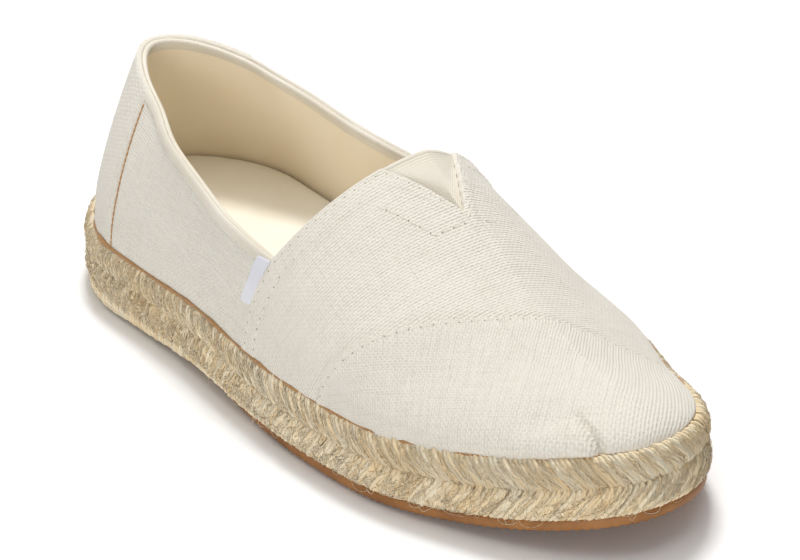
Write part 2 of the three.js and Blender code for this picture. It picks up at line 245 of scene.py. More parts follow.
def outward(turn, over, points):
    """Unit normals of the last at points that were found at turn and over."""
    small = 2e-3
    turn = np.clip(turn, small, 1 - small)
    along = bare_last(turn + small, over) - bare_last(turn - small, over)
    across = bare_last(turn, over + small) - bare_last(turn, over - small)
    normal = unit(np.cross(along, across))
    core_x = np.clip(points[..., 0], HEEL_X + 45, TOE_X - 60)
    core = np.stack([core_x, np.full_like(core_x, SHIFT_Y), sole_top(core_x) - 12], -1)
    return normal * np.sign(np.sum(normal * (points - core), -1, keepdims=True))


# Soft folds of the cloth: each runs from one place on the shoe to another
FOLDS = [
    {"from": (22, -26, 54), "to": (50, -6, 54), "depth": -0.5, "width": 8},
    {"from": (44, -34, 38), "to": (66, -4, 46), "depth": 0.3, "width": 6},
    {"from": (62, -32, 34), "to": (88, -6, 39), "depth": -0.5, "width": 8},
    {"from": (99, -20, 32), "to": (107, -14, 34), "depth": -0.9, "width": 4.5},
    {"from": (96, 8, 35), "to": (112, -2, 33), "depth": 0.4, "width": 6},
    {"from": (-70, -36, 26), "to": (-20, -40, 30), "depth": 0.5, "width": 9},
    {"from": (-60, -34, 44), "to": (-16, -34, 38), "depth": -0.6, "width": 8},
    {"from": (-60, 36, 40), "to": (-14, 38, 34), "depth": -0.5, "width": 9},
    {"from": (30, 38, 32), "to": (60, 30, 38), "depth": -0.5, "width": 8},
]
# Dart that takes in the cloth at the toe: a sharp fold with a fuller cheek on its outer side
DART_FOOT = (118.0, -14.6)
DART_TOP = (104.5, -13.4)
DART_DEPTH = 2.6
DART_WIDTH = 0.9
DART_CHEEK = 1.3
DART_CHEEK_AWAY = 2.8
DART_CHEEK_WIDTH = 2.1


def from_line(points, start, end):
    """Distance from each point to a line between two points."""
    start, end = np.array(start, float), np.array(end, float)
    way = end - start
    share = np.clip((points - start) @ way / (way @ way), 0, 1)
    return np.linalg.norm(points - (start + share[..., None] * way), axis=-1)


def relief(points):
    """How far the cloth stands off the last at each point."""
    off = np.zeros(points.shape[:-1])
    for fold in FOLDS:
        distance = from_line(points, fold["from"], fold["to"])
        off += fold["depth"] * np.exp(-(distance / fold["width"]) ** 2)
    share = (points[..., 0] - DART_FOOT[0]) / (DART_TOP[0] - DART_FOOT[0])
    reach = np.clip(1 - share, 0, 1) ** 0.6 * smooth(-0.5, 0.05, share)
    side = points[..., 1] - (DART_FOOT[1] + share * (DART_TOP[1] - DART_FOOT[1]))
    off -= DART_DEPTH * reach * np.exp(-(side / DART_WIDTH) ** 2)
    return off + DART_CHEEK * reach * np.exp(-((side + DART_CHEEK_AWAY) / DART_CHEEK_WIDTH) ** 2)


# Share of the last's arch over which the cloth is drawn in to the rope at its foot
DRAWN_IN = 0.12
LEFT_AT_FOOT = 0.25


def on_last(turn, over, off=0.0):
    """Points of the dressed last, off being how far they stand out from it."""
    points = bare_last(turn, over)
    out = outward(turn, over, points)
    height = relief(points) + off
    foot = LEFT_AT_FOOT + (1 - LEFT_AT_FOOT) * smooth(0, DRAWN_IN, 1 - np.abs(over))
    return points + out * np.where(height > 0, height * foot, height)[..., None]


def solve(low, high, is_past, rounds=34):
    """Where is_past turns true between low and high, for arrays of places."""
    low, high = np.array(low, float), np.array(high, float)
    for _ in range(rounds):
        middle = (low + high) / 2
        past = is_past(middle)
        high = np.where(past, middle, high)
        low = np.where(past, low, middle)
    return (low + high) / 2


def vamp_edge(z):
    share = np.maximum((THROAT_Z - z) / THROAT_CORNER_HEIGHT, 0)
    return THROAT_X - VAMP_EDGE_RAKE * share ** VAMP_EDGE_BEND


def throat_edge(z):
    return THROAT_X + THROAT_RAKE * (z - THROAT_Z) / (INSTEP_HEIGHT - THROAT_CORNER_HEIGHT)


def back_edge(points):
    """x of the vamp's back edge at the height of each point, without the elastic's notch."""
    z = points[..., 2]
    return np.where(z > THROAT_Z, throat_edge(z), vamp_edge(z))


GORE_BACK_X = throat_edge(SOLE_HEIGHT + INSTEP_HEIGHT)
GORE_APEX_X = GORE_BACK_X + GORE_LENGTH


def notch_edge(points, wider=0.0):
    """x of the notch's edge at each point; wider moves the whole notch outwards."""
    middle = GORE_MIDDLE * BALL_HALF_WIDTH + SHIFT_Y
    slope = 2 * GORE_LENGTH / GORE_WIDTH
    return GORE_APEX_X + wider * slope - np.abs(points[..., 1] - middle) * slope


def toe_seam(points):
    y = points[..., 1] - SHIFT_Y
    middle = HEEL_X + TOE_SEAM["at"] * SOLE_LENGTH
    return middle + TOE_SEAM["slant"] * y - TOE_SEAM["bow"] * y * y / BALL_HALF_WIDTH


def turn_where(over, x_of, low=0.3, high=0.97):
    """The turn at which the last reaches the edge x_of(points), for each place across."""
    over = np.asarray(over, float)

    def is_past(turn):
        points = bare_last(turn, over)
        return points[..., 0] > x_of(points)

    return solve(np.full(over.shape, low), np.full(over.shape, high), is_past)


def over_at_share(turn, share, side):
    """Where the wall of one side reaches a share of the topline's height, at each turn."""
    turn, share = np.broadcast_arrays(np.asarray(turn, float), np.asarray(share, float))
    target = np.clip(share, 0, 1)

    def is_past(up):
        points = bare_last(turn, side * (1 - up))
        foot = bare_last(turn, side * np.ones_like(up))[..., 2]
        top = topline(np.minimum(points[..., 0], THROAT_X))
        return points[..., 2] > foot + target * (top - foot)

    up = solve(np.zeros(turn.shape), np.ones(turn.shape), is_past)
    return side * (1 - up + np.maximum(-share, 0) * 10)


def wall_turn(share, side, x_of):
    """The turn at which one side's wall reaches the edge x_of, at each share of its height."""
    share = np.asarray(share, float)

    def is_past(turn):
        points = bare_last(turn, over_at_share(turn, share, side))
        return points[..., 0] > x_of(points)

    return solve(np.full(share.shape, 0.02), np.full(share.shape, 0.75), is_past, 26)


# Meshes
def mesh_of(name, points, faces, material, uv=None):
    """A smooth-shaded piece from points in millimetres. uv is one pair a point."""
    mesh = bpy.data.meshes.new(name)
    mesh.from_pydata((np.asarray(points) * MM).tolist(), [], np.asarray(faces).tolist())
    if uv is not None:
        layer = mesh.uv_layers.new(name="UVMap")
        corners = np.zeros(len(mesh.loops), np.int32)
        mesh.loops.foreach_get("vertex_index", corners)
        layer.data.foreach_set("uv", np.asarray(uv, np.float32)[corners].ravel())
    mesh.materials.append(material)
    mesh.polygons.foreach_set("use_smooth", [True] * len(mesh.polygons))
    mesh.update()
    piece = bpy.data.objects.new(name, mesh)
    bpy.context.scene.collection.objects.link(piece)
    return piece


def grid_faces(rows, columns, first=0, wrap=False):
    index = np.arange(rows * columns).reshape(rows, columns) + first
    if wrap:
        index = np.concatenate([index, index[:, :1]], 1)
    corners = [index[:-1, :-1], index[1:, :-1], index[1:, 1:], index[:-1, 1:]]
    return np.stack(corners, -1).reshape(-1, 4)


def capped_rings(name, rows, material):
    """Closed body through rings of points. Each end closes to the line midway between its sides,
    so a ring's points go evenly round from the heel and back to it."""
    size = rows.shape[1]
    mirrored = (size - np.arange(size)) % size
    spines = [(row + row[mirrored]) / 2 for row in (rows[0], rows[-1])]
    rows = np.concatenate([spines[0][None], rows, spines[1][None]])
    flat = rows.reshape(-1, 3)
    faces = grid_faces(rows.shape[0], size, wrap=True)
    if signed_volume(flat, faces) < 0:
        faces = faces[:, ::-1]
    piece = mesh_of(name, flat, faces, material)
    joined = bmesh.new()
    joined.from_mesh(piece.data)
    bmesh.ops.remove_doubles(joined, verts=joined.verts, dist=1e-6)
    bmesh.ops.dissolve_degenerate(joined, edges=joined.edges, dist=1e-6)
    joined.to_mesh(piece.data)
    joined.free()
    return piece


def signed_volume(points, faces):
    """Volume inside a closed body of quads, below zero where its faces point inwards."""
    a, b, c, d = (points[faces[:, i]] for i in range(4))
    first = np.einsum("ij,ij->i", a, np.cross(b, c))
    second = np.einsum("ij,ij->i", a, np.cross(c, d))
    return (first.sum() + second.sum()) / 6


def shell(name, outside, inside, material, pattern=None):
    """Closed piece of cloth between two grids of points, with its rim."""
    rows, columns = outside.shape[:2]
    count = rows * columns
    points = np.concatenate([outside.reshape(-1, 3), inside.reshape(-1, 3)])
    outer = grid_faces(rows, columns)
    inner = grid_faces(rows, columns, count)[:, ::-1]
    index = np.arange(count).reshape(rows, columns)
    border = np.concatenate([index[0, :], index[1:, -1], index[-1, -2::-1], index[-2:0:-1, 0]])
    after = np.roll(border, -1)
    rim = np.stack([border, after, after + count, border + count], -1)
    faces = np.concatenate([outer, inner, rim])
    if signed_volume(points, faces) < 0:
        faces = faces[:, ::-1]
    uv = None
    if pattern is not None:
        uv = np.concatenate([pattern.reshape(-1, 2)] * 2)
    return mesh_of(name, points, faces, material, uv)


def flat_pattern(points, grain, coarse=3):
    """Lays a grid of points flat, as its maker cuts the cloth: a pair in millimetres a point.
    grain turns the pattern, in degrees, from the grid's first direction at its middle."""
    rows, columns = points.shape[:2]
    keep_rows = np.unique(np.append(np.arange(0, rows, coarse), rows - 1))
    keep_columns = np.unique(np.append(np.arange(0, columns, coarse), columns - 1))
    few = points[np.ix_(keep_rows, keep_columns)]
    mesh = bpy.data.meshes.new("flat")
    faces = grid_faces(len(keep_rows), len(keep_columns))
    mesh.from_pydata(few.reshape(-1, 3).tolist(), [], faces.tolist())
    mesh.uv_layers.new(name="UVMap")
    sheet = bpy.data.objects.new("flat", mesh)
    bpy.context.scene.collection.objects.link(sheet)
    bpy.context.view_layer.objects.active = sheet
    sheet.select_set(True)
    bpy.ops.object.mode_set(mode="EDIT")
    bpy.ops.mesh.select_all(action="SELECT")
    bpy.ops.uv.unwrap(method="CONFORMAL", margin=0.0)
    bpy.ops.object.mode_set(mode="OBJECT")
    corners = np.zeros(len(mesh.loops), np.int32)
    mesh.loops.foreach_get("vertex_index", corners)
    flat = np.zeros(len(mesh.loops) * 2, np.float32)
    mesh.uv_layers.active.data.foreach_get("uv", flat)
    uv = np.zeros((len(few.reshape(-1, 3)), 2))
    uv[corners] = flat.reshape(-1, 2)
    uv = uv.reshape(len(keep_rows), len(keep_columns), 2)
    bpy.data.objects.remove(sheet)
    bpy.data.meshes.remove(mesh)
    middle_row, middle_column = len(keep_rows) // 2, len(keep_columns) // 2
    real = np.linalg.norm(np.diff(few[:, middle_column], axis=0), axis=-1).sum()
    drawn = np.linalg.norm(np.diff(uv[:, middle_column], axis=0), axis=-1).sum()
    way = uv[min(middle_row + 2, len(keep_rows) - 1), middle_column] - uv[middle_row - 1, middle_column]
    angle = math.radians(grain) - math.atan2(way[1], way[0])
    c, s = math.cos(angle), math.sin(angle)
    uv = uv @ np.array([[c, s], [-s, c]]) * (real / drawn)
    full = np.stack([np.stack([np.interp(np.arange(columns), keep_columns, uv[i, :, k])
                               for i in range(len(keep_rows))]) for k in range(2)], -1)
    return np.stack([np.stack([np.interp(np.arange(rows), keep_rows, full[:, j, k])
                               for j in range(columns)], 1) for k in range(2)], -1)


def spaced(points, step):
    """Places along a row of points, a step apart, as shares of its index."""
    length = np.append(0, np.cumsum(np.linalg.norm(np.diff(points, axis=0), axis=1)))
    count = max(2, int(round(length[-1] / step)) + 1)
    return np.interp(np.linspace(0, length[-1], count), length, np.arange(len(points)))


def edge_steps(total, near, step):
    """Shares of a width that start with the close steps near, in millimetres, then go evenly."""
    even = max(2, int(round((total - near[-1]) / step)) + 1)
    return np.append(np.array(near[:-1]) / total, np.linspace(near[-1] / total, 1, even))


def rounded(distance, thickness):
    """Height of a folded edge's top at a distance in from its end."""
    t = np.clip(distance / thickness, 0, 1)
    return thickness * np.sqrt(np.maximum(1 - (1 - t) ** 2, 0))


# Materials
class Wire:
    """A value inside a material. Arithmetic on wires adds Math nodes."""

    def __init__(self, finish, socket):
        self.finish = finish
        self.socket = socket

    def maths(self, operation, *values):
        return self.finish.node("Math", {"operation": operation}, values)

    def __add__(self, other):
        return self.maths("ADD", self, other)

    def __sub__(self, other):
        return self.maths("SUBTRACT", self, other)

    def __rsub__(self, other):
        return self.maths("SUBTRACT", other, self)

    def __mul__(self, other):
        return self.maths("MULTIPLY", self, other)

    __radd__ = __add__
    __rmul__ = __mul__

    def sine(self):
        return self.maths("SINE", self)

    def size(self):
        return self.maths("ABSOLUTE", self)

    def larger(self, other):
        return self.maths("MAXIMUM", self, other)

    def clear(self, low, high):
        """0 below low and 1 above high, smooth between."""
        return self.finish.node("MapRange", {"interpolation_type": "SMOOTHSTEP"}, [self, low, high])


class Finish:
    """One material, with a Principled shader whose steady values are set on its own sockets."""

    def __init__(self, name, color, roughness, **steady):
        self.material = bpy.data.materials.new(name)
        self.material.use_nodes = True
        self.tree = self.material.node_tree
        self.shader = self.tree.nodes["Principled BSDF"]
        self.shader.inputs["Base Color"].default_value = linear(color)
        self.shader.inputs["Roughness"].default_value = roughness
        for name_of_socket, value in steady.items():
            self.shader.inputs[name_of_socket.replace("_", " ")].default_value = value

    def join(self, value, socket):
        if isinstance(value, Wire):
            self.tree.links.new(value.socket, socket)
        elif isinstance(value, str):
            socket.default_value = linear(value)
        else:
            socket.default_value = value

    def node(self, kind, settings=None, values=(), output=0):
        """A node of a kind, its settings first and then the values or links of its sockets."""
        made = self.tree.nodes.new("ShaderNode" + kind)
        for key, value in (settings or {}).items():
            setattr(made, key, value)
        pairs = values.items() if isinstance(values, dict) else enumerate(values)
        for key, value in pairs:
            self.join(value, made.inputs[key])
        return Wire(self, made.outputs[output])

    def mix(self, share, first, second):
        made = self.tree.nodes.new("ShaderNodeMix")
        made.data_type = "RGBA"
        self.join(share, made.inputs[0])
        self.join(first, made.inputs[6])
        self.join(second, made.inputs[7])
        return Wire(self, made.outputs[2])

    def noise(self, place, scale, detail=3.0, roughness=0.5):
        values = {"Vector": place, "Scale": scale, "Detail": detail, "Roughness": roughness}
        return self.node("TexNoise", {"noise_dimensions": "3D"}, values)

    def place(self):
        """Object coordinates in millimetres."""
        inside = self.node("TexCoord", output="Object")
        return self.node("VectorMath", {"operation": "SCALE"}, {"Vector": inside, "Scale": 1 / MM})

    def pattern(self):
        """The piece's own flat pattern, in millimetres: a vector and its two parts."""
        flat = self.node("UVMap", {"uv_map": "UVMap"})
        parts = self.tree.nodes.new("ShaderNodeSeparateXYZ")
        self.join(flat, parts.inputs[0])
        return flat, Wire(self, parts.outputs[0]), Wire(self, parts.outputs[1])

    def vector(self, x, y, z=0.0):
        return self.node("CombineXYZ", values=[x, y, z])

    def attribute(self, name):
        return self.node("Attribute", {"attribute_name": name}, output="Fac")

    def bump(self, height, distance):
        values = {"Strength": 1.0, "Distance": distance * MM, "Height": height}
        return self.node("Bump", values=values)

    def set(self, socket, value):
        self.join(value, self.shader.inputs[socket])


def linear(color):
    """A colour written as in a paint book, #rrggbb, as the renderer's linear values."""
    parts = [int(color[i:i + 2], 16) / 255 for i in (1, 3, 5)]
    return [(p / 12.92 if p < 0.04045 else ((p + 0.055) / 1.055) ** 2.4) for p in parts] + [1.0]


WEAVE_PITCH = 0.86


def woven(name, light, shade, pitch=WEAVE_PITCH, ribbed=0.6, relief_depth=0.2, gap_shade=0.22):
    """Plain-weave cotton: crossing threads that go over and under, with slubs, faint clouds and painted
    shade in the gaps between threads.
    """
    finish = Finish(name, light, 0.88, Sheen_Weight=0.12, Sheen_Roughness=0.5, Specular_IOR_Level=0.25)
    flat, u, v = finish.pattern()
    wander = finish.noise(flat, 0.12, 2.0) * 0.5
    across = (u + wander) * (math.pi / pitch)
    along = (v + wander) * (math.pi / pitch)
    warp, weft = across.sine(), along.sine()
    cross = warp * weft
    warp_height = warp.size() * (cross * 0.45 + 1.0) * ribbed
    weft_height = weft.size() * (1.0 - cross * 0.45)
    threads = warp_height.larger(weft_height)
    slub_along = finish.noise(finish.vector(u * 0.1, v * 1.3), 1.0, 3.0)
    slub_across = finish.noise(finish.vector(u * 1.3, v * 0.1), 1.0, 3.0)
    slubs = slub_along + slub_across - 1.0
    clouds = finish.noise(finish.place(), 0.035, 3.0)
    depth = threads + slubs * 0.9
    # Painted shade: the gaps between threads go towards the shade colour; slubs and clouds are the cloth's
    # own tone
    tone = (threads.clear(0.35, 1.0) * gap_shade + (1.0 - gap_shade) + slubs * 0.55 + (clouds - 0.5) * 0.25)
    finish.set("Base Color", finish.mix(tone.clear(0.0, 1.0), shade, light))
    finish.set("Normal", finish.bump(depth, relief_depth))
    return finish.material


def jute_fibre(name, light, middle, dark):
    """Raw jute: long fibres along each yarn, paler and darker yarns, faint clouds."""
    finish = Finish(name, middle, 0.85, Sheen_Weight=0.1, Specular_IOR_Level=0.3)
    _, u, v = finish.pattern()
    tint = finish.attribute("tint")
    fibres = finish.noise(finish.vector(u * 0.35 + tint * 40.0, v * 5.0, tint * 9.0), 1.0, 4.0, 0.6)
    strands = ((v * 2.0 + u * 1.2) * math.pi).sine()
    clouds = finish.noise(finish.place(), 0.05, 2.0)
    tone = fibres * 1.1 + 0.16 + (tint - 0.5) * 0.26 + (clouds - 0.5) * 0.4
    low = finish.mix(tone.clear(0.05, 0.5), dark, middle)
    finish.set("Base Color", finish.mix(tone.clear(0.45, 0.95), low, light))
    finish.set("Normal", finish.bump(fibres * 1.4 + strands * 0.35, 0.22))
    return finish.material


def plain_cloth(name, light, shade, scale=1.4, depth=0.05, roughness=0.8):
    """Close, nearly smooth cloth with a fine nap and faint clouds."""
    finish = Finish(name, light, roughness, Sheen_Weight=0.15, Specular_IOR_Level=0.25)
    place = finish.place()
    nap = finish.noise(place, scale, 4.0, 0.6)
    clouds = finish.noise(place, 0.05, 2.0)
    tone = nap * 0.5 + clouds * 0.7 - 0.1
    finish.set("Base Color", finish.mix(tone.clear(0.1, 0.9), shade, light))
    finish.set("Normal", finish.bump(nap, depth))
    return finish.material


def gum_rubber(name, light, dark):
    """Gum rubber: satin, a little mottled, with a fine grain."""
    finish = Finish(name, light, 0.55, Specular_IOR_Level=0.4)
    place = finish.place()
    grain = finish.noise(place, 1.2, 4.0, 0.6)
    clouds = finish.noise(place, 0.08, 3.0)
    finish.set("Base Color", finish.mix((clouds * 0.8 + grain * 0.3).clear(0.3, 0.85), dark, light))
    finish.set("Roughness", grain * 0.25 + 0.42)
    finish.set("Normal", finish.bump(grain, 0.12))
    return finish.material


def thread(name, light, shade):
    """Twisted sewing thread."""
    finish = Finish(name, light, 0.7, Sheen_Weight=0.1)
    grain = finish.noise(finish.place(), 3.0, 2.0)
    finish.set("Base Color", finish.mix(grain.clear(0.3, 0.7), shade, light))
    return finish.material


# Canvas: its shade colour gives both the darker slubs and the painted shade in the thread gaps
CANVAS = woven("natural_canvas", "#ede7db", "#bdb29b")
ELASTIC = plain_cloth("elastic_webbing", "#efe9dc", "#ddd4c2", 2.2, 0.06)
BINDING = plain_cloth("binding_tape", "#efe9dc", "#d9cfbc", 2.0, 0.08)
LINING = plain_cloth("lining_cloth", "#fcf1db", "#f8e8cc", 1.6, 0.04)
INSOLE_CLOTH = plain_cloth("insole_cloth", "#fbf6e8", "#f4ecd9", 1.8, 0.06)
LABEL = plain_cloth("label_cloth", "#eeeef2", "#d9d9e2", 3.0, 0.04, 0.6)
JUTE = jute_fibre("jute_fibre", "#fff4da", "#ffe4b4", "#d8a263")
# Darker jute behind the braid: painted shade seen in the gaps between the yarns
JUTE_CORE_SHADE = plain_cloth("jute_core_shade", "#b98f58", "#84602f", 1.0, 0.2, 0.95)
RUBBER = gum_rubber("gum_rubber", "#b07a45", "#86562a")
CREAM_THREAD = thread("cream_thread", "#f1ece0", "#ddd4c2")
# Needle holes: a dark colour that paints the shade inside each hole
NEEDLE_HOLE_SHADE = thread("needle_hole_shade", "#ab9b80", "#8f7f64")
# Tan colour of the heel seams and of the brown line where the canvas meets the rope
TAN_LINE = thread("tan_line", "#c79a66", "#9c7142")


# Geometry Nodes trees
def tree_of(name, sizes):
    """An empty tree that takes geometry and the named sizes, and its group nodes."""
    tree = bpy.data.node_groups.new(name, "GeometryNodeTree")
    tree.interface.new_socket("Geometry", in_out="INPUT", socket_type="NodeSocketGeometry")
    for size, kind in sizes:
        tree.interface.new_socket(size, in_out="INPUT", socket_type="NodeSocket" + kind)
    tree.interface.new_socket("Geometry", in_out="OUTPUT", socket_type="NodeSocketGeometry")
    start = tree.nodes.new("NodeGroupInput")
    end = tree.nodes.new("NodeGroupOutput")
    return tree, start, end


def geometry_node(tree, kind, settings=None, values=None):
    made = tree.nodes.new(kind)
    for key, value in (settings or {}).items():
        setattr(made, key, value)
    for key, value in (values or {}).items():
        if isinstance(value, bpy.types.NodeSocket):
            tree.links.new(value, made.inputs[key])
        else:
            made.inputs[key].default_value = value
    return made


def yarn_tree():
    """Yarn along each curve: a round section that is thinner at the ends of the curve where its
    radius says so, with the length along it and the way round it as a flat pattern."""
    sizes = [("Sides", "Int"), ("Thickness", "Float"), ("Material", "Material")]
    tree, start, end = tree_of("yarn_along_curves", sizes)
    node = lambda kind, settings=None, values=None: geometry_node(tree, kind, settings, values)
    length = node("GeometryNodeSplineParameter")
    own = node("GeometryNodeInputIndex")
    point = node("GeometryNodeCaptureAttribute", {"domain": "POINT"},
                 {"Geometry": start.outputs["Geometry"]})
    point.capture_items.new("FLOAT", "Along")
    tree.links.new(length.outputs["Length"], point.inputs["Along"])
    yarn = node("GeometryNodeCaptureAttribute", {"domain": "CURVE"},
                {"Geometry": point.outputs["Geometry"]})
    yarn.capture_items.new("INT", "Own")
    tree.links.new(own.outputs["Index"], yarn.inputs["Own"])
    ring = node("GeometryNodeCurvePrimitiveCircle", {"mode": "RADIUS"},
                {"Resolution": start.outputs["Sides"], "Radius": start.outputs["Thickness"]})
    way = node("GeometryNodeSplineParameter")
    section = node("GeometryNodeCaptureAttribute", {"domain": "POINT"},
                   {"Geometry": ring.outputs["Curve"]})
    section.capture_items.new("FLOAT", "Round")
    tree.links.new(way.outputs["Length"], section.inputs["Round"])
    radius = node("GeometryNodeInputRadius")
    tube_values = {"Curve": yarn.outputs["Geometry"], "Profile Curve": section.outputs["Geometry"],
                   "Fill Caps": True}
    tube = node("GeometryNodeCurveToMesh", None, tube_values)
    if "Scale" in tube.inputs:
        tree.links.new(radius.outputs[0], tube.inputs["Scale"])
    milli = lambda socket: node("ShaderNodeMath", {"operation": "MULTIPLY"}, {0: socket, 1: 1 / MM})
    flat = node("ShaderNodeCombineXYZ", None, {
        0: milli(point.outputs["Along"]).outputs[0], 1: milli(section.outputs["Round"]).outputs[0]})
    mapped = node("GeometryNodeStoreNamedAttribute", {"data_type": "FLOAT2", "domain": "CORNER"},
                  {"Geometry": tube.outputs["Mesh"], "Name": "UVMap", "Value": flat.outputs[0]})
    chance = node("FunctionNodeRandomValue", {"data_type": "FLOAT"},
                  {"ID": yarn.outputs["Own"], "Seed": 7})
    tinted = node("GeometryNodeStoreNamedAttribute", {"data_type": "FLOAT", "domain": "POINT"},
                  {"Geometry": mapped.outputs["Geometry"], "Name": "tint",
                   "Value": chance.outputs[1]})
    smooth_faces = node("GeometryNodeSetShadeSmooth", None, {0: tinted.outputs["Geometry"]})
    real = node("GeometryNodeRealizeInstances", None, {0: smooth_faces.outputs[0]})
    done = node("GeometryNodeSetMaterial", None,
                {"Geometry": real.outputs[0], "Material": start.outputs["Material"]})
    tree.links.new(done.outputs["Geometry"], end.inputs["Geometry"])
    return tree


def stitch_tree():
    """Stitches a step apart along each seam line: short round-ended threads that lie on it."""
    sizes = [("Step", "Float"), ("Stitch length", "Float"), ("Thickness", "Float"),
             ("Material", "Material")]
    tree, start, end = tree_of("stitches_along_seams", sizes)
    node = lambda kind, settings=None, values=None: geometry_node(tree, kind, settings, values)
    spots = node("GeometryNodeCurveToPoints", {"mode": "LENGTH"},
                 {"Curve": start.outputs["Geometry"], "Length": start.outputs["Step"]})
    ball = node("GeometryNodeMeshIcoSphere", None, {"Radius": 0.5, "Subdivisions": 2})
    size = node("ShaderNodeCombineXYZ", None, {
        0: start.outputs["Thickness"], 1: start.outputs["Thickness"],
        2: start.outputs["Stitch length"]})
    placed = node("GeometryNodeInstanceOnPoints", None, {
        "Points": spots.outputs["Points"], "Instance": ball.outputs["Mesh"],
        "Rotation": spots.outputs["Rotation"], "Scale": size.outputs[0]})
    smooth_faces = node("GeometryNodeSetShadeSmooth", None, {0: placed.outputs[0]})
    real = node("GeometryNodeRealizeInstances", None, {0: smooth_faces.outputs[0]})
    done = node("GeometryNodeSetMaterial", None,
                {"Geometry": real.outputs[0], "Material": start.outputs["Material"]})
    tree.links.new(done.outputs["Geometry"], end.inputs["Geometry"])
    return tree


YARN = yarn_tree()
STITCHES = stitch_tree()


def grown(name, tree, paths, sizes, radii=None):
    """A plain mesh that a tree makes of paths in millimetres; radii gives each point's share."""
    curve = bpy.data.curves.new(name, "CURVE")
    curve.dimensions = "3D"
    for number, path in enumerate(paths):
        spline = curve.splines.new("POLY")
        spline.points.add(len(path) - 1)
        flat = np.concatenate([np.asarray(path) * MM, np.ones((len(path), 1))], 1)
        spline.points.foreach_set("co", flat.astype(np.float32).ravel())
        if radii is not None:
            spline.points.foreach_set("radius", np.asarray(radii[number], np.float32))
    source = bpy.data.objects.new(name + "_path", curve)
    bpy.context.scene.collection.objects.link(source)
    maker = source.modifiers.new("maker", "NODES")
    maker.node_group = tree
    for item in tree.interface.items_tree:
        if item.item_type == "SOCKET" and item.in_out == "INPUT" and item.name in sizes:
            maker[item.identifier] = sizes[item.name]
    bpy.context.view_layer.update()
    evaluated = source.evaluated_get(bpy.context.evaluated_depsgraph_get())
    mesh = bpy.data.meshes.new_from_object(evaluated)
    mesh.name = name
    piece = bpy.data.objects.new(name, mesh)
    bpy.context.scene.collection.objects.link(piece)
    bpy.data.objects.remove(source)
    bpy.data.curves.remove(curve)
    return piece


def finish_piece(piece, slot_name, *nodes):
    """Lets a piece ride on the shoe and hides the parts of the frame that it stands for. slot_name is not
    used.
    """
    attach(piece, "root")
    if nodes:
        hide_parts(*nodes)
    return piece


# Upper
VAMP_THICKNESS = 0.8
CAP_LIFT = 0.55
QUARTER_THICKNESS = 0.9
PANEL_STEP = 1.5
NEAR_EDGE = [0.0, 0.12, 0.3, 0.55, 0.8, 1.3, 2.2]


def vamp_columns():
    """Places across the vamp, evenly spaced, with the throat's and the notch's corners in them."""
    dense = np.concatenate([[-2.0], np.linspace(-1, 1, 1601), [2.0]])
    turn = turn_where(np.clip(dense, -1, 1), lambda p: np.maximum(back_edge(p), notch_edge(p)))
    rim = bare_last(turn, dense)
    in_notch = notch_edge(rim) > back_edge(rim) - 1e-3
    first, last = np.flatnonzero(in_notch)[[0, -1]]
    apex = first + np.argmax(rim[first:last, 0])
    high = np.flatnonzero(rim[:, 2] > THROAT_Z)
    knots = [0, high[0], first, apex, last, high[-1], len(dense) - 1]
    places = []
    for start, stop in zip(knots[:-1], knots[1:]):
        spots = start + spaced(rim[start:stop + 1], PANEL_STEP)
        places.append(np.interp(spots, np.arange(len(dense)), dense)[:-1])
    return np.append(np.concatenate(places), dense[-1]), dense[first], dense[last]


ACROSS, NOTCH_FROM, NOTCH_TO = vamp_columns()
THROAT_TURN = turn_where(np.clip(ACROSS, -1, 1), back_edge)
VAMP_TURN = turn_where(np.clip(ACROSS, -1, 1), lambda p: np.maximum(back_edge(p), notch_edge(p)))
SEAM_TURN = turn_where(np.clip(ACROSS, -1, 1), toe_seam)
DOUBLED_WIDTH = 7.0
CAP_FINER = 3


GRAIN = {"vamp": 90.0, "toe_cap": 45.0, "quarter": 0.0, "heel_panel": 0.0}


def build_vamp():
    length = 75.0
    share = edge_steps(length, NEAR_EDGE, PANEL_STEP)
    under_cap = 0.02
    end = np.minimum(SEAM_TURN + under_cap, 0.99)
    turn = VAMP_TURN + (end - VAMP_TURN) * share[:, None]
    over = np.broadcast_to(ACROSS, turn.shape)
    bare = on_last(turn, over)
    inward = np.cumsum(np.linalg.norm(np.diff(bare, axis=0, prepend=bare[:1]), axis=-1), axis=0)
    doubled = 0.3 * (1 - smooth(DOUBLED_WIDTH - 0.6, DOUBLED_WIDTH + 0.8, inward))
    tuck = 0.35 * smooth(3, 0, toe_seam(bare) - bare[..., 0])
    height = rounded(inward, VAMP_THICKNESS) + doubled * smooth(0, 0.8, inward) - tuck
    outside = on_last(turn, over, height)
    inside = on_last(turn, over, np.full(turn.shape, -0.25))
    pattern = flat_pattern(bare, GRAIN["vamp"], 1)
    return finish_piece(shell("vamp", outside, inside, CANVAS, pattern), "canvas", "upper")


TOE_CAP_LENGTH = 60.0


def build_toe_cap():
    places = np.linspace(0, len(ACROSS) - 1, CAP_FINER * len(ACROSS))
    across = np.interp(places, np.arange(len(ACROSS)), ACROSS)
    start = turn_where(np.clip(across, -1, 1), toe_seam)
    share = edge_steps(TOE_CAP_LENGTH, NEAR_EDGE, PANEL_STEP / 2)
    share = np.append(share[:-1], 1 - (1 - share[-2]) * np.array([0.5, 0.2, 0.0]))
    turn = start + (1.0 - start) * share[:, None]
    over = np.broadcast_to(across, turn.shape)
    bare = on_last(turn, over)
    inward = np.cumsum(np.linalg.norm(np.diff(bare, axis=0, prepend=bare[:1]), axis=-1), axis=0)
    edge = rounded(inward, CAP_LIFT + 0.2)
    outside = on_last(turn, over, VAMP_THICKNESS - 0.2 + edge)
    inside = on_last(turn, over, np.full(turn.shape, -0.3))
    pattern = flat_pattern(bare, GRAIN["toe_cap"], 5)
    return finish_piece(shell("toe_cap", outside, inside, CANVAS, pattern), "canvas")


UNDER_VAMP = 5.0
HEIGHT_SHARES = np.concatenate([[-0.1, -0.05], np.linspace(0, 1, 30)])


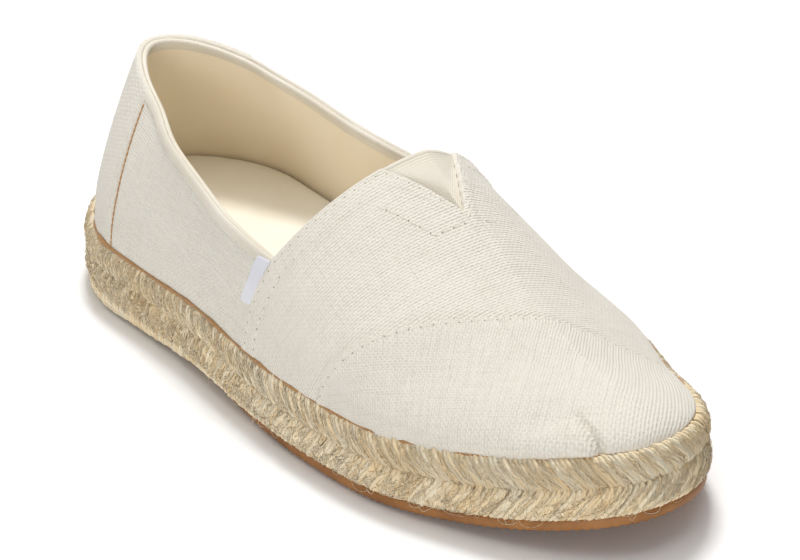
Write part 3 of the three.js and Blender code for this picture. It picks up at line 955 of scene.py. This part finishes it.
def wall_grid(side, x_of, step, start_turn=0.0):
    """A grid over one side's wall, from the heel's middle to an edge, and its turns and overs."""
    share = HEIGHT_SHARES
    end = wall_turn(share, side, x_of)
    count = int(round(130 / step))
    way = np.linspace(0, 1, count)
    turn = start_turn + (end - start_turn) * way[:, None]
    over = over_at_share(turn, np.broadcast_to(share, turn.shape), side)
    return turn, over


def build_quarter(name, side):
    turn, over = wall_grid(side, lambda p: vamp_edge(p[..., 2]) + UNDER_VAMP, PANEL_STEP)
    outside = on_last(turn, over)
    inside = on_last(turn, over, np.full(turn.shape, -QUARTER_THICKNESS))
    pattern = flat_pattern(outside, GRAIN["quarter"] * side)
    return finish_piece(shell(name, outside, inside, CANVAS, pattern), "canvas")


def both_sides(x_of, step):
    """Turns and overs of a grid that goes round the heel from the outer to the inner side."""
    outer_turn, outer_over = wall_grid(-1, x_of, step)
    inner_turn, inner_over = wall_grid(1, x_of, step)
    turn = np.concatenate([-outer_turn[:0:-1], inner_turn])
    over = np.concatenate([outer_over[:0:-1], inner_over])
    return turn, over


def build_lining():
    """Lining of the quarters, round the heel, in one piece."""
    turn, over = both_sides(lambda p: vamp_edge(p[..., 2]) + UNDER_VAMP + 2, 2.5)
    near, far = -WALL, -QUARTER_THICKNESS - 0.1
    inside = on_last(np.abs(turn), over, np.full(turn.shape, near))
    outside = on_last(np.abs(turn), over, np.full(turn.shape, far))
    return finish_piece(shell("quarter_lining", outside, inside, LINING), "canvas")


def build_vamp_lining():
    """Lining under the vamp and the toe, seen through the throat."""
    share = np.linspace(0, 1, 50)
    turn = THROAT_TURN + 0.004 + (1.0 - THROAT_TURN - 0.004) * share[:, None]
    over = np.broadcast_to(ACROSS, turn.shape)
    inside = on_last(turn, over, np.full(turn.shape, -WALL))
    outside = on_last(turn, over, np.full(turn.shape, -0.6))
    return finish_piece(shell("vamp_lining", outside, inside, LINING), "canvas")


def build_heel_panel():
    end = lambda p: np.full(p.shape[:-1], HEEL_X + HEEL_PANEL_LENGTH)
    turn, over = both_sides(end, 3.2)
    bare = on_last(np.abs(turn), over)
    steps = np.linalg.norm(np.diff(bare, axis=0), axis=-1)
    inward = np.minimum(np.cumsum(np.append(np.zeros((1, steps.shape[1])), steps, 0), 0),
                        np.cumsum(np.append(steps, np.zeros((1, steps.shape[1])), 0)[::-1], 0)[::-1])
    outside = on_last(np.abs(turn), over, 0.1 + rounded(inward, 0.75))
    inside = on_last(np.abs(turn), over, np.full(turn.shape, -0.1))
    pattern = flat_pattern(bare, GRAIN["heel_panel"])
    piece = shell("heel_panel_cloth", outside, inside, CANVAS, pattern)
    return finish_piece(piece, "canvas", "heel_panel")


# Rim of the collar: the cloth's fold outside and the tape's fold inside, with a fine groove
BINDING_SECTION = [
    {"out": 0.1, "up": -2.9}, {"out": 0.4, "up": -2.7}, {"out": 0.52, "up": -2.2},
    {"out": 0.58, "up": -1.4}, {"out": 0.45, "up": -0.5}, {"out": 0.05, "up": 0.1},
    {"out": -0.5, "up": 0.05}, {"out": -0.85, "up": -0.45}, {"out": -1.2, "up": 0.0},
    {"out": -1.75, "up": 0.15}, {"out": -2.3, "up": -0.2}, {"out": -2.55, "up": -1.0},
    {"out": -2.5, "up": -2.6}, {"out": -2.2, "up": -3.2}, {"out": -1.6, "up": -3.0},
]


def curve_between(p0, p1, p2, p3, f):
    """Points a share f of the way from p1 to p2, on a smooth curve that p0 and p3 steer."""
    return 0.5 * (2 * p1 + (p2 - p0) * f + (2 * p0 - 5 * p1 + 4 * p2 - p3) * f ** 2
                  + (3 * p1 - p0 - 3 * p2 + p3) * f ** 3)


def closed_curve(points, count):
    """Smooth closed curve through a few points."""
    t = np.arange(count) * len(points) / count
    i = t.astype(int)
    f = (t - i)[:, None]
    p0, p1, p2, p3 = (points[(i + k) % len(points)] for k in (-1, 0, 1, 2))
    return curve_between(p0, p1, p2, p3, f)


def collar_line(share=1.0, past=0.0, count=90):
    """Turns and overs along the collar, from the outer throat corner round to the inner one."""
    edge = lambda p: vamp_edge(p[..., 2]) + past
    rows = []
    for side in (-1, 1):
        end = wall_turn(np.array([share]), side, edge)[0]
        turn = np.linspace(0, end, count)
        over = over_at_share(turn, np.full(count, share), side)
        rows.append((turn, over))
    turn = np.concatenate([-rows[0][0][:0:-1], rows[1][0]])
    over = np.concatenate([rows[0][1][:0:-1], rows[1][1]])
    return turn, over


def build_binding():
    turn, over = collar_line(1.0, 3.0)
    top = on_last(np.abs(turn), over)
    low_turn, low_over = collar_line(0.86, 3.0)
    low = on_last(np.abs(low_turn), low_over)
    up = unit(top - low)
    out = outward(np.abs(turn), over, top)
    out = unit(out - up * np.sum(out * up, -1, keepdims=True))
    section = closed_curve(np.array([[row["out"], row["up"]] for row in BINDING_SECTION]), 45)
    points = (top[:, None] + out[:, None] * section[None, :, :1] + up[:, None] * section[None, :, 1:])
    rows, columns = points.shape[:2]
    faces = grid_faces(rows, columns, wrap=True)
    flat = points.reshape(-1, 3)
    caps = np.array([flat[:columns].mean(0), flat[-columns:].mean(0)])
    ring = np.arange(columns)
    first = np.stack([ring, np.roll(ring, -1), np.full(columns, rows * columns)], -1)
    last = np.stack([np.roll(ring, -1), ring, np.full(columns, rows * columns + 1)], -1)
    last[:, :2] += (rows - 1) * columns
    volume = signed_volume(flat, faces)
    all_faces = faces.tolist() + first.tolist() + last.tolist()
    if volume < 0:
        all_faces = [face[::-1] for face in all_faces]
    piece = bpy.data.meshes.new("collar_rim")
    piece.from_pydata((np.concatenate([flat, caps]) * MM).tolist(), [], all_faces)
    piece.materials.append(BINDING)
    piece.polygons.foreach_set("use_smooth", [True] * len(piece.polygons))
    made = bpy.data.objects.new("collar_rim", piece)
    bpy.context.scene.collection.objects.link(made)
    return finish_piece(made, "canvas", "collar_binding")


RIB_PITCH = 1.05
RIB_HEIGHT = 0.14
GORE_RIM = 1.4


def build_gore():
    inside_notch = (ACROSS > NOTCH_FROM - 1e-6) & (ACROSS < NOTCH_TO + 1e-6)
    across = ACROSS[inside_notch]
    under = 2.0 / 250
    start = turn_where(across, back_edge)
    end = turn_where(across, lambda p: notch_edge(p)) + under
    longest = 20.0
    share = np.linspace(0, 1, int(longest / 0.17))
    turn = start + (end - start) * share[:, None]
    over = np.broadcast_to(across, turn.shape)
    bare = on_last(turn, over)
    depth = bare[..., 0] - back_edge(bare)
    ribs = RIB_HEIGHT * np.cos(2 * math.pi * depth / RIB_PITCH) * smooth(GORE_RIM, GORE_RIM + 0.6, depth)
    rim = 0.5 * rounded(depth, 0.6) * (1 - smooth(GORE_RIM - 0.3, GORE_RIM + 0.2, depth))
    outside = on_last(turn, over, ribs + rim - 0.3)
    inside = on_last(turn, over, np.full(turn.shape, -1.3))
    piece = shell("elastic_v", outside, inside, ELASTIC, flat_pattern(bare, 0.0))
    return finish_piece(piece, "elastic", "elastic_gore")


SEAM_STEP = 0.8


def seam_path(turn, over, off):
    """Points of a seam line that lies off the last, close enough together to bend smoothly."""
    points = on_last(turn, over)
    spots = spaced(points, SEAM_STEP)
    index = np.arange(len(points))
    turn = np.interp(spots, index, turn)
    over = np.interp(spots, index, over)
    return on_last(turn, over, np.full(turn.shape, off))


# Line of stitches round the elastic's notch, on the vamp: places in plan from the outer side inwards
NOTCH_STITCHES = [
    {"x": 24.6, "y": -14.6}, {"x": 31.5, "y": -11.2}, {"x": 38.6, "y": -7.6}, {"x": 39.4, "y": -2.2},
    {"x": 39.9, "y": 2.6}, {"x": 40.4, "y": 9.6}, {"x": 35.0, "y": 13.8}, {"x": 27.0, "y": 20.5},
]
STITCH_STEP = 3.2
STITCH_LENGTH = 2.5
STITCH_THICKNESS = 0.42


def over_plan(rows, off):
    """Path on the last over a few places given in plan."""
    x = np.array([row["x"] for row in rows], float)
    y = np.array([row["y"] for row in rows], float)
    t = np.linspace(0, len(rows) - 1, 40 * len(rows))
    x, y = (np.interp(t, np.arange(len(rows)), value) for value in (x, y))
    turn = np.full(t.shape, 0.5)
    over = np.zeros(t.shape)
    for _ in range(12):
        fixed_over = over
        turn = solve(np.full(t.shape, 0.3), np.full(t.shape, 0.95),
                     lambda u: bare_last(u, fixed_over)[..., 0] > x, 24)
        fixed_turn = turn
        over = solve(np.full(t.shape, -1.0), np.full(t.shape, 1.0),
                     lambda u: bare_last(fixed_turn, u)[..., 1] > y, 24)
    return seam_path(turn, over, off)


def sewn(name, rows, material):
    """Rows of stitches with their needle holes, which are dark beads of painted shade between the stitches.
    """
    sizes = {"Step": STITCH_STEP * MM, "Stitch length": STITCH_LENGTH * MM,
             "Thickness": STITCH_THICKNESS * MM, "Material": material}
    finish_piece(grown(name, STITCHES, rows, sizes), "canvas")
    # Dark beads between the stitches: painted shade in the needle holes
    between = [row[int(round(STITCH_STEP / 2 / SEAM_STEP)):] for row in rows]
    sizes = {"Step": STITCH_STEP * MM, "Stitch length": 0.5 * MM, "Thickness": 0.44 * MM,
             "Material": NEEDLE_HOLE_SHADE}
    finish_piece(grown(name + "_holes", STITCHES, between, sizes), "canvas")


def build_stitches():
    """Rows of cream stitches along the vamp's back edge, the notch and the toe cap, and the tan
    seam on each side of the heel panel."""
    dense = np.linspace(-0.985, 0.985, 900)
    edge = turn_where(dense, lambda p: np.maximum(back_edge(p) + 2.2, notch_edge(p, 1.4)))
    rows = [seam_path(edge, dense, 1.0)]
    for side in (-1, 1):
        start = solve(np.array([0.0]), np.array([1.0]), lambda u: bare_last(
            turn_where(side * (1 - u), lambda p: back_edge(p) + DOUBLED_WIDTH), side * (1 - u))[..., 2] > 63)
        over = side * np.linspace(0.985, 1 - start[0], 400)
        inner = turn_where(over, lambda p: back_edge(p) + DOUBLED_WIDTH)
        rows.append(seam_path(inner, over, 0.95))
    rows.append(over_plan(NOTCH_STITCHES, 0.78))
    cap = turn_where(dense, lambda p: toe_seam(p) + 1.5)
    rows.append(seam_path(cap, dense, 1.28))
    sewn("cream_stitches", rows, CREAM_THREAD)
    seams = []
    for side in (-1, 1):
        share = np.linspace(0.0, 0.9, 120)
        turn = wall_turn(share, side, lambda p: np.full(p.shape[:-1], HEEL_X + HEEL_PANEL_LENGTH + 0.4))
        over = over_at_share(turn, share, side)
        seams.append(seam_path(turn, over, 0.1))
    sizes = {"Step": 1.7 * MM, "Stitch length": 1.95 * MM, "Thickness": 0.55 * MM, "Material": TAN_LINE}
    finish_piece(grown("heel_seam_stitches", STITCHES, seams, sizes), "canvas")


def wall_patch(side, x_low, x_high, z_low, z_high, off, rows=14, columns=28):
    """Points on one side's wall over a patch given in side view; x_low and x_high take heights."""
    z = np.linspace(z_low, z_high, columns)[None, :]
    share_x = np.linspace(0, 1, rows)[:, None]
    x = x_low(z) + (x_high(z) - x_low(z)) * share_x
    z = np.broadcast_to(z, x.shape)
    turn = np.full(x.shape, 0.5)
    over = np.full(x.shape, side * 0.5)
    for _ in range(14):
        fixed_over = over
        turn = solve(np.full(x.shape, 0.05), np.full(x.shape, 0.8),
                     lambda t: bare_last(t, fixed_over)[..., 0] > x, 24)
        fixed_turn = turn
        up = solve(np.zeros(x.shape), np.ones(x.shape),
                   lambda u: bare_last(fixed_turn, side * (1 - u))[..., 2] > z, 24)
        over = side * (1 - up)
    return on_last(turn, over, np.broadcast_to(off, x.shape))


SIDE_TAB_FOOT_Z = 33.6
SIDE_TAB_TOP_Z = 46.3


def build_side_tab():
    """Bare woven tab that the vamp's edge catches, up to the collar's rim."""
    front = lambda z: vamp_edge(z) + 0.9
    back = lambda z: vamp_edge(z) + 0.9 - SIDE_TAB_WIDTH - 0.8
    z = np.linspace(SIDE_TAB_FOOT_Z, SIDE_TAB_TOP_Z, 28)[None, :]
    height = 0.8 + 0.55 * smooth(40, 43.5, z) + np.zeros((14, 1))
    outside = wall_patch(-1, back, front, SIDE_TAB_FOOT_Z, SIDE_TAB_TOP_Z, height)
    inside = wall_patch(-1, back, front, SIDE_TAB_FOOT_Z, SIDE_TAB_TOP_Z, height - 0.55)
    return finish_piece(shell("side_label", outside, inside, LABEL), "label_cloth", "side_tab")


def build_heel_tab():
    """Bare tab of label cloth across the back of the heel."""
    foot = SOLE_HEIGHT + HEEL_TAB_FOOT
    z = np.linspace(foot, foot + HEEL_TAB_HEIGHT, 16)[None, :]
    halves = []
    for side in (-1, 1):
        y_target = np.linspace(0, HEEL_TAB_WIDTH / 2, 18)[:, None]
        shape = np.broadcast_shapes(z.shape, y_target.shape)
        z_all = np.broadcast_to(z, shape)
        y_all = np.broadcast_to(y_target, shape)
        over = np.full(shape, side * 0.5)
        for _ in range(14):
            fixed_over = over
            turn = solve(np.zeros(shape), np.full(shape, 0.4),
                         lambda t: np.abs(bare_last(t, fixed_over)[..., 1] - SHIFT_Y) > y_all, 24)
            fixed_turn = turn
            up = solve(np.zeros(shape), np.ones(shape),
                       lambda u: bare_last(fixed_turn, side * (1 - u))[..., 2] > z_all, 24)
            over = side * (1 - up)
        halves.append((turn, over))
    turn = np.concatenate([halves[0][0][:0:-1], halves[1][0]])
    over = np.concatenate([halves[0][1][:0:-1], halves[1][1]])
    outside = on_last(turn, over, np.full(turn.shape, 1.45))
    inside = on_last(turn, over, np.full(turn.shape, 0.9))
    return finish_piece(shell("heel_label", outside, inside, LABEL), "label_cloth", "heel_tab")


# Sole
def rim_point(around, inset, height):
    """Point of the sole's side. around goes 0 to 1 from the heel along the outer side, round the
    toe and back along the inner side."""
    around = np.mod(around, 1.0)
    inner = around > 0.5
    turn = np.where(inner, 2 * (1 - around), 2 * around)
    at = station(turn)
    half = np.where(inner, inner_half(at), outer_half(at)) * BALL_HALF_WIDTH
    side = np.where(inner, 1.0, -1.0)
    x = HEEL_X + inset + (SOLE_LENGTH - 2 * inset) * at
    y = side * (half - inset) * round_ends(at) + SHIFT_Y
    return np.stack([x, y, lift(x) + height], -1)


def rim_scale():
    """Length round the sole's outline, and the place around for each millimetre of it."""
    around = np.linspace(0, 1, 8001)
    points = rim_point(around[:-1], 0.0, 0.0)
    points = np.concatenate([points, points[:1]])
    length = np.append(0, np.cumsum(np.linalg.norm(np.diff(points[:, :2], axis=0), axis=1)))
    return length, around


RIM_LENGTHS, RIM_PLACES = rim_scale()
RIM_LENGTH = RIM_LENGTHS[-1]


def around_at(length):
    turns = np.floor(length / RIM_LENGTH)
    return np.interp(length - turns * RIM_LENGTH, RIM_LENGTHS, RIM_PLACES)


# Way of one braid strand over the sole's side: the upper row from under the canvas over the edge to
# the middle, the lower row from the middle to the rubber. forward is a share of the strand's lean.
UPPER_WAY = [
    {"inset": 6.4, "height": 18.2, "forward": 0.0},
    {"inset": 4.4, "height": 19.2, "forward": 0.0},
    {"inset": 2.7, "height": 19.8, "forward": 0.04},
    {"inset": 1.4, "height": 19.2, "forward": 0.12},
    {"inset": 0.6, "height": 17.6, "forward": 0.3},
    {"inset": 0.35, "height": 15.4, "forward": 0.58},
    {"inset": 0.75, "height": 13.2, "forward": 0.86},
    {"inset": 2.0, "height": 11.8, "forward": 1.0},
]
LOWER_WAY = [
    {"inset": 2.0, "height": 12.1, "forward": 1.0},
    {"inset": 0.7, "height": 10.6, "forward": 0.9},
    {"inset": 0.35, "height": 8.5, "forward": 0.62},
    {"inset": 0.4, "height": 6.3, "forward": 0.32},
    {"inset": 0.8, "height": 4.4, "forward": 0.1},
    {"inset": 1.9, "height": 3.4, "forward": 0.0},
]
# How far the lower row hangs down over the rubber round the heel
HEEL_DROP = 2.2
STRAND_PITCH = 4.3
YARNS_A_STRAND = 3
YARN_RADIUS = 0.86
CROWN = 0.4
LEAN_AT_HEEL = 1.6
LEAN_AT_TOE = 6.8


def braid_share(around):
    """How clearly the braid shows: smooth and upright round the heel, a full chevron forward."""
    forward = 1 - np.abs(2 * around - 1)
    return smooth(0.2, 0.62, forward)


def way_points(way, count):
    rows = np.array([[row["inset"], row["height"], row["forward"]] for row in way])
    t = np.linspace(0, len(rows) - 1, count)
    i = np.clip(t.astype(int), 0, len(rows) - 2)
    f = (t - i)[:, None]
    before = rows[np.maximum(i - 1, 0)]
    after = rows[np.minimum(i + 2, len(rows) - 1)]
    return curve_between(before, rows[i], rows[i + 1], after, f)


def braid_yarns(way, rng, points_a_yarn=12):
    """Paths and radii of the yarns of one row of braid."""
    shape = way_points(way, points_a_yarn)
    paths, radii = [], []
    strands = int(round(RIM_LENGTH / STRAND_PITCH))
    pitch = RIM_LENGTH / strands
    t = np.linspace(0, 1, points_a_yarn)
    for strand in range(strands):
        start = strand * pitch + rng.normal(0, 0.18)
        clear = float(braid_share(around_at(start)))
        lean = LEAN_AT_HEEL + (LEAN_AT_TOE - LEAN_AT_HEEL) * clear + rng.normal(0, 0.25)
        for yarn in range(YARNS_A_STRAND):
            across = yarn / (YARNS_A_STRAND - 1) * 2 - 1
            spacing = pitch / YARNS_A_STRAND
            wander = rng.normal(0, 0.16) + 0.25 * np.sin(t * 5 + rng.uniform(0, 6.3)) * (1.2 - clear)
            crown = CROWN * (0.35 + 0.65 * clear) * (1 - across ** 2) - 0.15
            length = start + across * spacing + shape[:, 2] * lean + wander
            bulge = crown * np.sin(math.pi * np.clip(t * 1.1, 0, 1)) + rng.normal(0, 0.08)
            inset = shape[:, 0] - bulge + YARN_RADIUS * 0.8
            drop = HEEL_DROP * (1 - clear) * smooth(8.5, 4.0, shape[:, 1])
            height = shape[:, 1] - drop + rng.normal(0, 0.12)
            inset = inset - 0.8 * (1 - clear) * smooth(6.5, 4.0, shape[:, 1])
            paths.append(rim_point(around_at(length), inset, height))
            radii.append(np.full(points_a_yarn, 1.0) * rng.uniform(0.88, 1.08))
    return paths, radii


def build_braid():
    rng = np.random.default_rng(11)
    for name, way in (("braid_upper_row", UPPER_WAY), ("braid_lower_row", LOWER_WAY)):
        paths, radii = braid_yarns(way, rng)
        sizes = {"Sides": 6, "Thickness": YARN_RADIUS * MM, "Material": JUTE}
        piece = grown(name, YARN, paths, sizes, radii)
        finish_piece(piece, "jute", *(["rope_sole"] if name == "braid_upper_row" else []))


def build_rope_core():
    """Jute body behind the braid, recessed for the upper's foot and the insole, coloured darker than the
    yarns as painted shade in the gaps between them.
    """
    around = np.arange(240) / 240
    levels = [(2.8, 2.6), (1.7, 3.6), (1.4, 6.5), (1.5, 9.3), (2.4, 11.9), (1.5, 14.2), (1.5, 16.2),
              (2.6, 18.0), (5.0, 18.4), (7.4, 17.2)]
    rows = np.stack([rim_point(around, inset, height) for inset, height in levels])
    return finish_piece(capped_rings("rope_core", rows, JUTE_CORE_SHADE), "jute")


def fuzz(rng, count, way, spread, reach, lift_off):
    """Short loose fibres that stand off one row of braid: paths and radii."""
    rows = way_points(way, 40)
    paths, radii = [], []
    for _ in range(count):
        length = rng.uniform(0, RIM_LENGTH)
        clear = float(braid_share(around_at(length)))
        if rng.uniform() < clear * 0.45:
            continue
        t0 = rng.uniform(0.1, 0.9)
        size = rng.uniform(*reach)
        t = np.clip(t0 + np.linspace(0, 1, 4) * size / 10 * rng.choice([-1, 1]), 0, 1)
        shape = np.stack([np.interp(t, np.linspace(0, 1, 40), rows[:, k]) for k in range(3)], -1)
        lean = LEAN_AT_HEEL + (LEAN_AT_TOE - LEAN_AT_HEEL) * clear
        drift = rng.normal(0, spread) * np.linspace(0, 1, 4)
        off = lift_off * rng.uniform(0.2, 1) * np.linspace(0, 1, 4) ** 1.3
        around = around_at(length + shape[:, 2] * lean + drift)
        paths.append(rim_point(around, shape[:, 0] - 0.15 - off, shape[:, 1]))
        radii.append(np.array([1.0, 0.9, 0.7, 0.3]) * rng.uniform(0.6, 1.2))
    return paths, radii


def build_fuzz():
    rng = np.random.default_rng(23)
    upper = fuzz(rng, 5200, UPPER_WAY, 1.8, (2.0, 4.5), 0.7)
    lower = fuzz(rng, 6000, LOWER_WAY, 2.4, (1.5, 4.0), 0.9)
    paths, radii = upper[0] + lower[0], upper[1] + lower[1]
    sizes = {"Sides": 3, "Thickness": 0.15 * MM, "Material": JUTE}
    finish_piece(grown("jute_fuzz", YARN, paths, sizes, radii), "jute")


def build_loose_hairs():
    """A few long hairs that hang in loops below the rope's lower edge."""
    rng = np.random.default_rng(5)
    paths, radii = [], []
    for _ in range(70):
        length = rng.uniform(0, RIM_LENGTH)
        width = rng.uniform(2, 9)
        t = np.linspace(0, 1, 9)
        drop = np.sin(math.pi * t) * rng.uniform(0.6, 2.6)
        out = np.sin(math.pi * t) * rng.uniform(0.2, 1.8)
        around = around_at(length + width * (t - 0.5) + 0.5 * np.sin(t * 7 + rng.uniform(0, 6)))
        points = rim_point(around, 1.6 - out, 4.4 - drop)
        points[:, 2] = np.maximum(points[:, 2], 0.3)
        paths.append(points)
        radii.append(np.full(9, rng.uniform(0.7, 1.1)))
    sizes = {"Sides": 3, "Thickness": 0.09 * MM, "Material": JUTE}
    finish_piece(grown("loose_hairs", YARN, paths, sizes, radii), "jute")


def back_inset(around):
    """How much further in the rubber lies towards the heel."""
    turn = 1 - np.abs(2 * np.mod(around, 1.0) - 1)
    share = np.clip((station(turn) - WAIST_FROM) / (SPRING_START - WAIST_FROM), 0, 1)
    return (RUBBER_INSET_BACK - RUBBER_INSET) * (1 - share) ** 2


MOULD_MARK_STEP = 2.6
MOULD_MARK_DEPTH = 0.35


def build_outsole():
    """Rubber sheet with fine moulding marks round its lower edge."""
    around = np.arange(1600) / 1600
    length = np.interp(around, RIM_PLACES, RIM_LENGTHS)
    mark = MOULD_MARK_DEPTH * (0.5 + 0.5 * np.sin(2 * math.pi * length / MOULD_MARK_STEP))
    levels = [(6.0, 0.5, 0.0), (1.0, 0.3, 1.0), (0.5, 0.45, 1.0), (0.1, 1.0, 0.4), (0.0, 1.8, 0.0),
              (0.0, 3.2, 0.0), (0.3, 3.5, 0.0), (6.0, 3.5, 0.0)]
    rows = [rim_point(around, RUBBER_INSET + back_inset(around) + inset, height + mark * marked)
            for inset, height, marked in levels]
    return finish_piece(capped_rings("rubber_outsole", np.stack(rows), RUBBER), "gum_rubber", "outsole")


TREAD_STEP = 3.4
TREAD_BAR = 2.0


def build_tread():
    """Bars across the underside that stand on the floor, cut to the outsole's outline."""
    around = np.linspace(0, 0.5, 1500)
    inset = RUBBER_INSET + back_inset(around) + 3.2
    outer = rim_point(around, inset, 0.0)
    inner = rim_point(1 - around, inset, 0.0)
    points, faces = [], []
    x = HEEL_X + 8
    while x < TOE_X - 5:
        ends = []
        for place in (x, x + TREAD_BAR):
            y_out = np.interp(place, outer[:, 0], outer[:, 1])
            y_in = np.interp(place, inner[:, 0], inner[:, 1])
            ends.append((place, y_out, y_in))
        across = np.linspace(0, 1, 15)
        wave = 1.1 * np.abs(((across * 7) % 1) * 2 - 1)
        rows = []
        for (place, y_out, y_in), height in ((ends[0], 0.9), (ends[0], 0.0), (ends[1], 0.0), (ends[1], 0.9)):
            px = place + wave
            rows.append(np.stack([px, y_out + (y_in - y_out) * across, lift(px) + height], -1))
        rows = np.stack(rows, 1)
        first = len(points)
        points.extend(rows.reshape(-1, 3).tolist())
        faces.extend((grid_faces(15, 4, first, wrap=True)[:, ::-1]).tolist())
        faces.append([first, first + 1, first + 2, first + 3])
        faces.append([first + 14 * 4 + k for k in (3, 2, 1, 0)])
        x += TREAD_STEP
    mesh = bpy.data.meshes.new("rubber_tread")
    mesh.from_pydata((np.array(points) * MM).tolist(), [], faces)
    mesh.materials.append(RUBBER)
    piece = bpy.data.objects.new("rubber_tread", mesh)
    bpy.context.scene.collection.objects.link(piece)
    return finish_piece(piece, "gum_rubber")


# Footbed's rings: how far in from the wall, and how high above the bottom or below the top
INSOLE_FOOT = [{"in": 10.0, "up": 0.0}, {"in": 0.5, "up": 0.0}, {"in": 0.1, "up": 0.5}]
INSOLE_TOP = [
    {"in": 0.5, "down": 1.1}, {"in": 0.9, "down": 0.4}, {"in": 1.7, "down": 0.05}, {"in": 3.4, "down": 0.0},
    {"in": 7.0, "down": 0.4}, {"in": 12.0, "down": 0.9}, {"in": 17.0, "down": 1.1},
]
TOE_NARROWER = 6.0
TOE_THINNER = 3.5
WALL_LEAN = 0.12


def build_insole():
    """Footbed: a padded sheet inside the wall that dips under the foot."""
    around = np.arange(240) / 240
    turn = 1 - np.abs(2 * around - 1)
    over = np.where(around > 0.5, 1.0, -1.0)
    at_toe = smooth(0.72, 0.92, turn)
    foot = SOLE_HEIGHT - SEAT_DEPTH + 0.05
    top = foot + INSOLE_THICKNESS - TOE_THINNER * at_toe
    levels = [(row["in"], foot + row["up"]) for row in INSOLE_FOOT]
    levels += [(row["in"], top - row["down"]) for row in INSOLE_TOP]
    wall_foot = bare_last(turn, over)
    out = outward(turn, over, wall_foot)
    rows = []
    for inset, height in levels:
        lean = WALL_LEAN * np.clip(height - SOLE_HEIGHT, 0, 10)
        ring = wall_foot - out * (WALL + 0.35 + inset + lean + TOE_NARROWER * at_toe)[..., None]
        ring[:, 2] = height
        rows.append(ring)
    piece = finish_piece(capped_rings("footbed", np.stack(rows), INSOLE_CLOTH), "insole_cloth", "insole")
    return piece


def foot_line(off, rise=0.0, count=500):
    """Closed path along the upper's foot, from the heel round the outer side and the toe."""
    turn = np.concatenate([np.linspace(0, 1, count), np.linspace(1, 0, count)[1:]])
    over = np.concatenate([np.full(count, -1.0), np.full(count - 1, 1.0)])
    points = on_last(turn, over, np.full(turn.shape, off))
    spots = spaced(points, 0.8)
    path = np.stack([np.interp(spots, np.arange(len(points)), points[:, k]) for k in range(3)], -1)
    path[:, 2] += rise
    return path


def build_brown_foot_line():
    """Brown line where the canvas meets the rope, broken and uneven."""
    rng = np.random.default_rng(3)
    path = foot_line(0.25, 0.1)
    knots = np.arange(0, len(path) + 20, 7)
    wander = np.interp(np.arange(len(path)), knots, rng.normal(0, 1, len(knots)))
    clear = braid_share(np.arange(len(path)) / len(path))
    radii = [np.clip(0.75 - 0.35 * clear + 0.25 * wander, 0.12, 1.3)]
    sizes = {"Sides": 5, "Thickness": 0.95 * MM, "Material": TAN_LINE}
    finish_piece(grown("brown_foot_line", YARN, [path], sizes, radii), "jute")


# Stage
def build_stage():
    floor = bpy.data.meshes.new("floor")
    reach = 6.0
    corners = [(-reach, -reach, 0), (reach, -reach, 0), (reach, reach, 0), (-reach, reach, 0)]
    floor.from_pydata(corners, [], [(0, 1, 2, 3)])
    paper = Finish("studio_paper", "#ffffff", 0.9)
    floor.materials.append(paper.material)
    stage = bpy.data.objects.new("studio_floor", floor)
    bpy.context.scene.collection.objects.link(stage)
    world = bpy.data.worlds.new("studio")
    world.use_nodes = True
    sky = world.node_tree.nodes["Background"]
    sky.inputs["Color"].default_value = (1.0, 1.0, 1.0, 1.0)
    sky.inputs["Strength"].default_value = 0.26
    bpy.context.scene.world = world
    bpy.context.scene.view_settings.view_transform = "Standard"


def add_softbox(name, place, size, power):
    """A soft square light that faces the shoe."""
    light = bpy.data.lights.new(name, "AREA")
    light.shape = "SQUARE"
    light.size = size
    light.energy = power
    lamp = bpy.data.objects.new(name, light)
    lamp.location = place
    lamp.rotation_euler = (-Vector(place)).to_track_quat("-Z", "Y").to_euler()
    bpy.context.scene.collection.objects.link(lamp)


def build_camera():
    azimuth, elevation = math.radians(CAMERA_AZIMUTH), math.radians(CAMERA_ELEVATION)
    roll = math.radians(CAMERA_ROLL)
    back = Vector((math.sin(azimuth) * math.cos(elevation), -math.cos(azimuth) * math.cos(elevation),
                   math.sin(elevation)))
    level = Vector((math.cos(azimuth), math.sin(azimuth), 0))
    upright = back.cross(level)
    right = level * math.cos(roll) + upright * math.sin(roll)
    up = upright * math.cos(roll) - level * math.sin(roll)
    across = SHOE_MIDDLE_PIXEL[0] - PICTURE_SIZE[0] / 2
    down = SHOE_MIDDLE_PIXEL[1] - PICTURE_SIZE[1] / 2
    ahead = (-back * FOCAL_PIXELS + right * across - up * down).normalized()
    turned = (-back).rotation_difference(ahead).to_matrix()
    photo = Matrix((right, up, back)).transposed()
    camera = bpy.data.cameras.new("camera")
    camera.sensor_width = 36.0
    camera.lens = FOCAL_PIXELS / PICTURE_SIZE[0] * camera.sensor_width * ENLARGEMENT
    camera.clip_start, camera.clip_end = 0.05, 20.0
    holder = bpy.data.objects.new("camera", camera)
    place = (Vector(CAMERA_AIM) + back * CAMERA_DISTANCE) * MM
    holder.matrix_world = Matrix.Translation(place) @ (turned @ photo).to_4x4()
    bpy.context.scene.collection.objects.link(holder)
    bpy.context.scene.camera = holder


build_camera()
build_stage()
add_softbox("key", (-0.42, 0.36, 1.4), 0.35, 14)
add_softbox("top", (0.0, 0.0, 1.5), 1.2, 7)
add_softbox("fill", (1.3, -1.6, 0.45), 1.0, 14)

build_vamp()
build_toe_cap()
build_quarter("outer_quarter", -1)
build_quarter("inner_quarter", 1)
build_lining()
build_vamp_lining()
build_heel_panel()
build_binding()
build_gore()
build_stitches()
build_side_tab()
build_heel_tab()
build_braid()
build_rope_core()
build_fuzz()
build_loose_hairs()
build_outsole()
build_tread()
build_insole()
build_brown_foot_line()
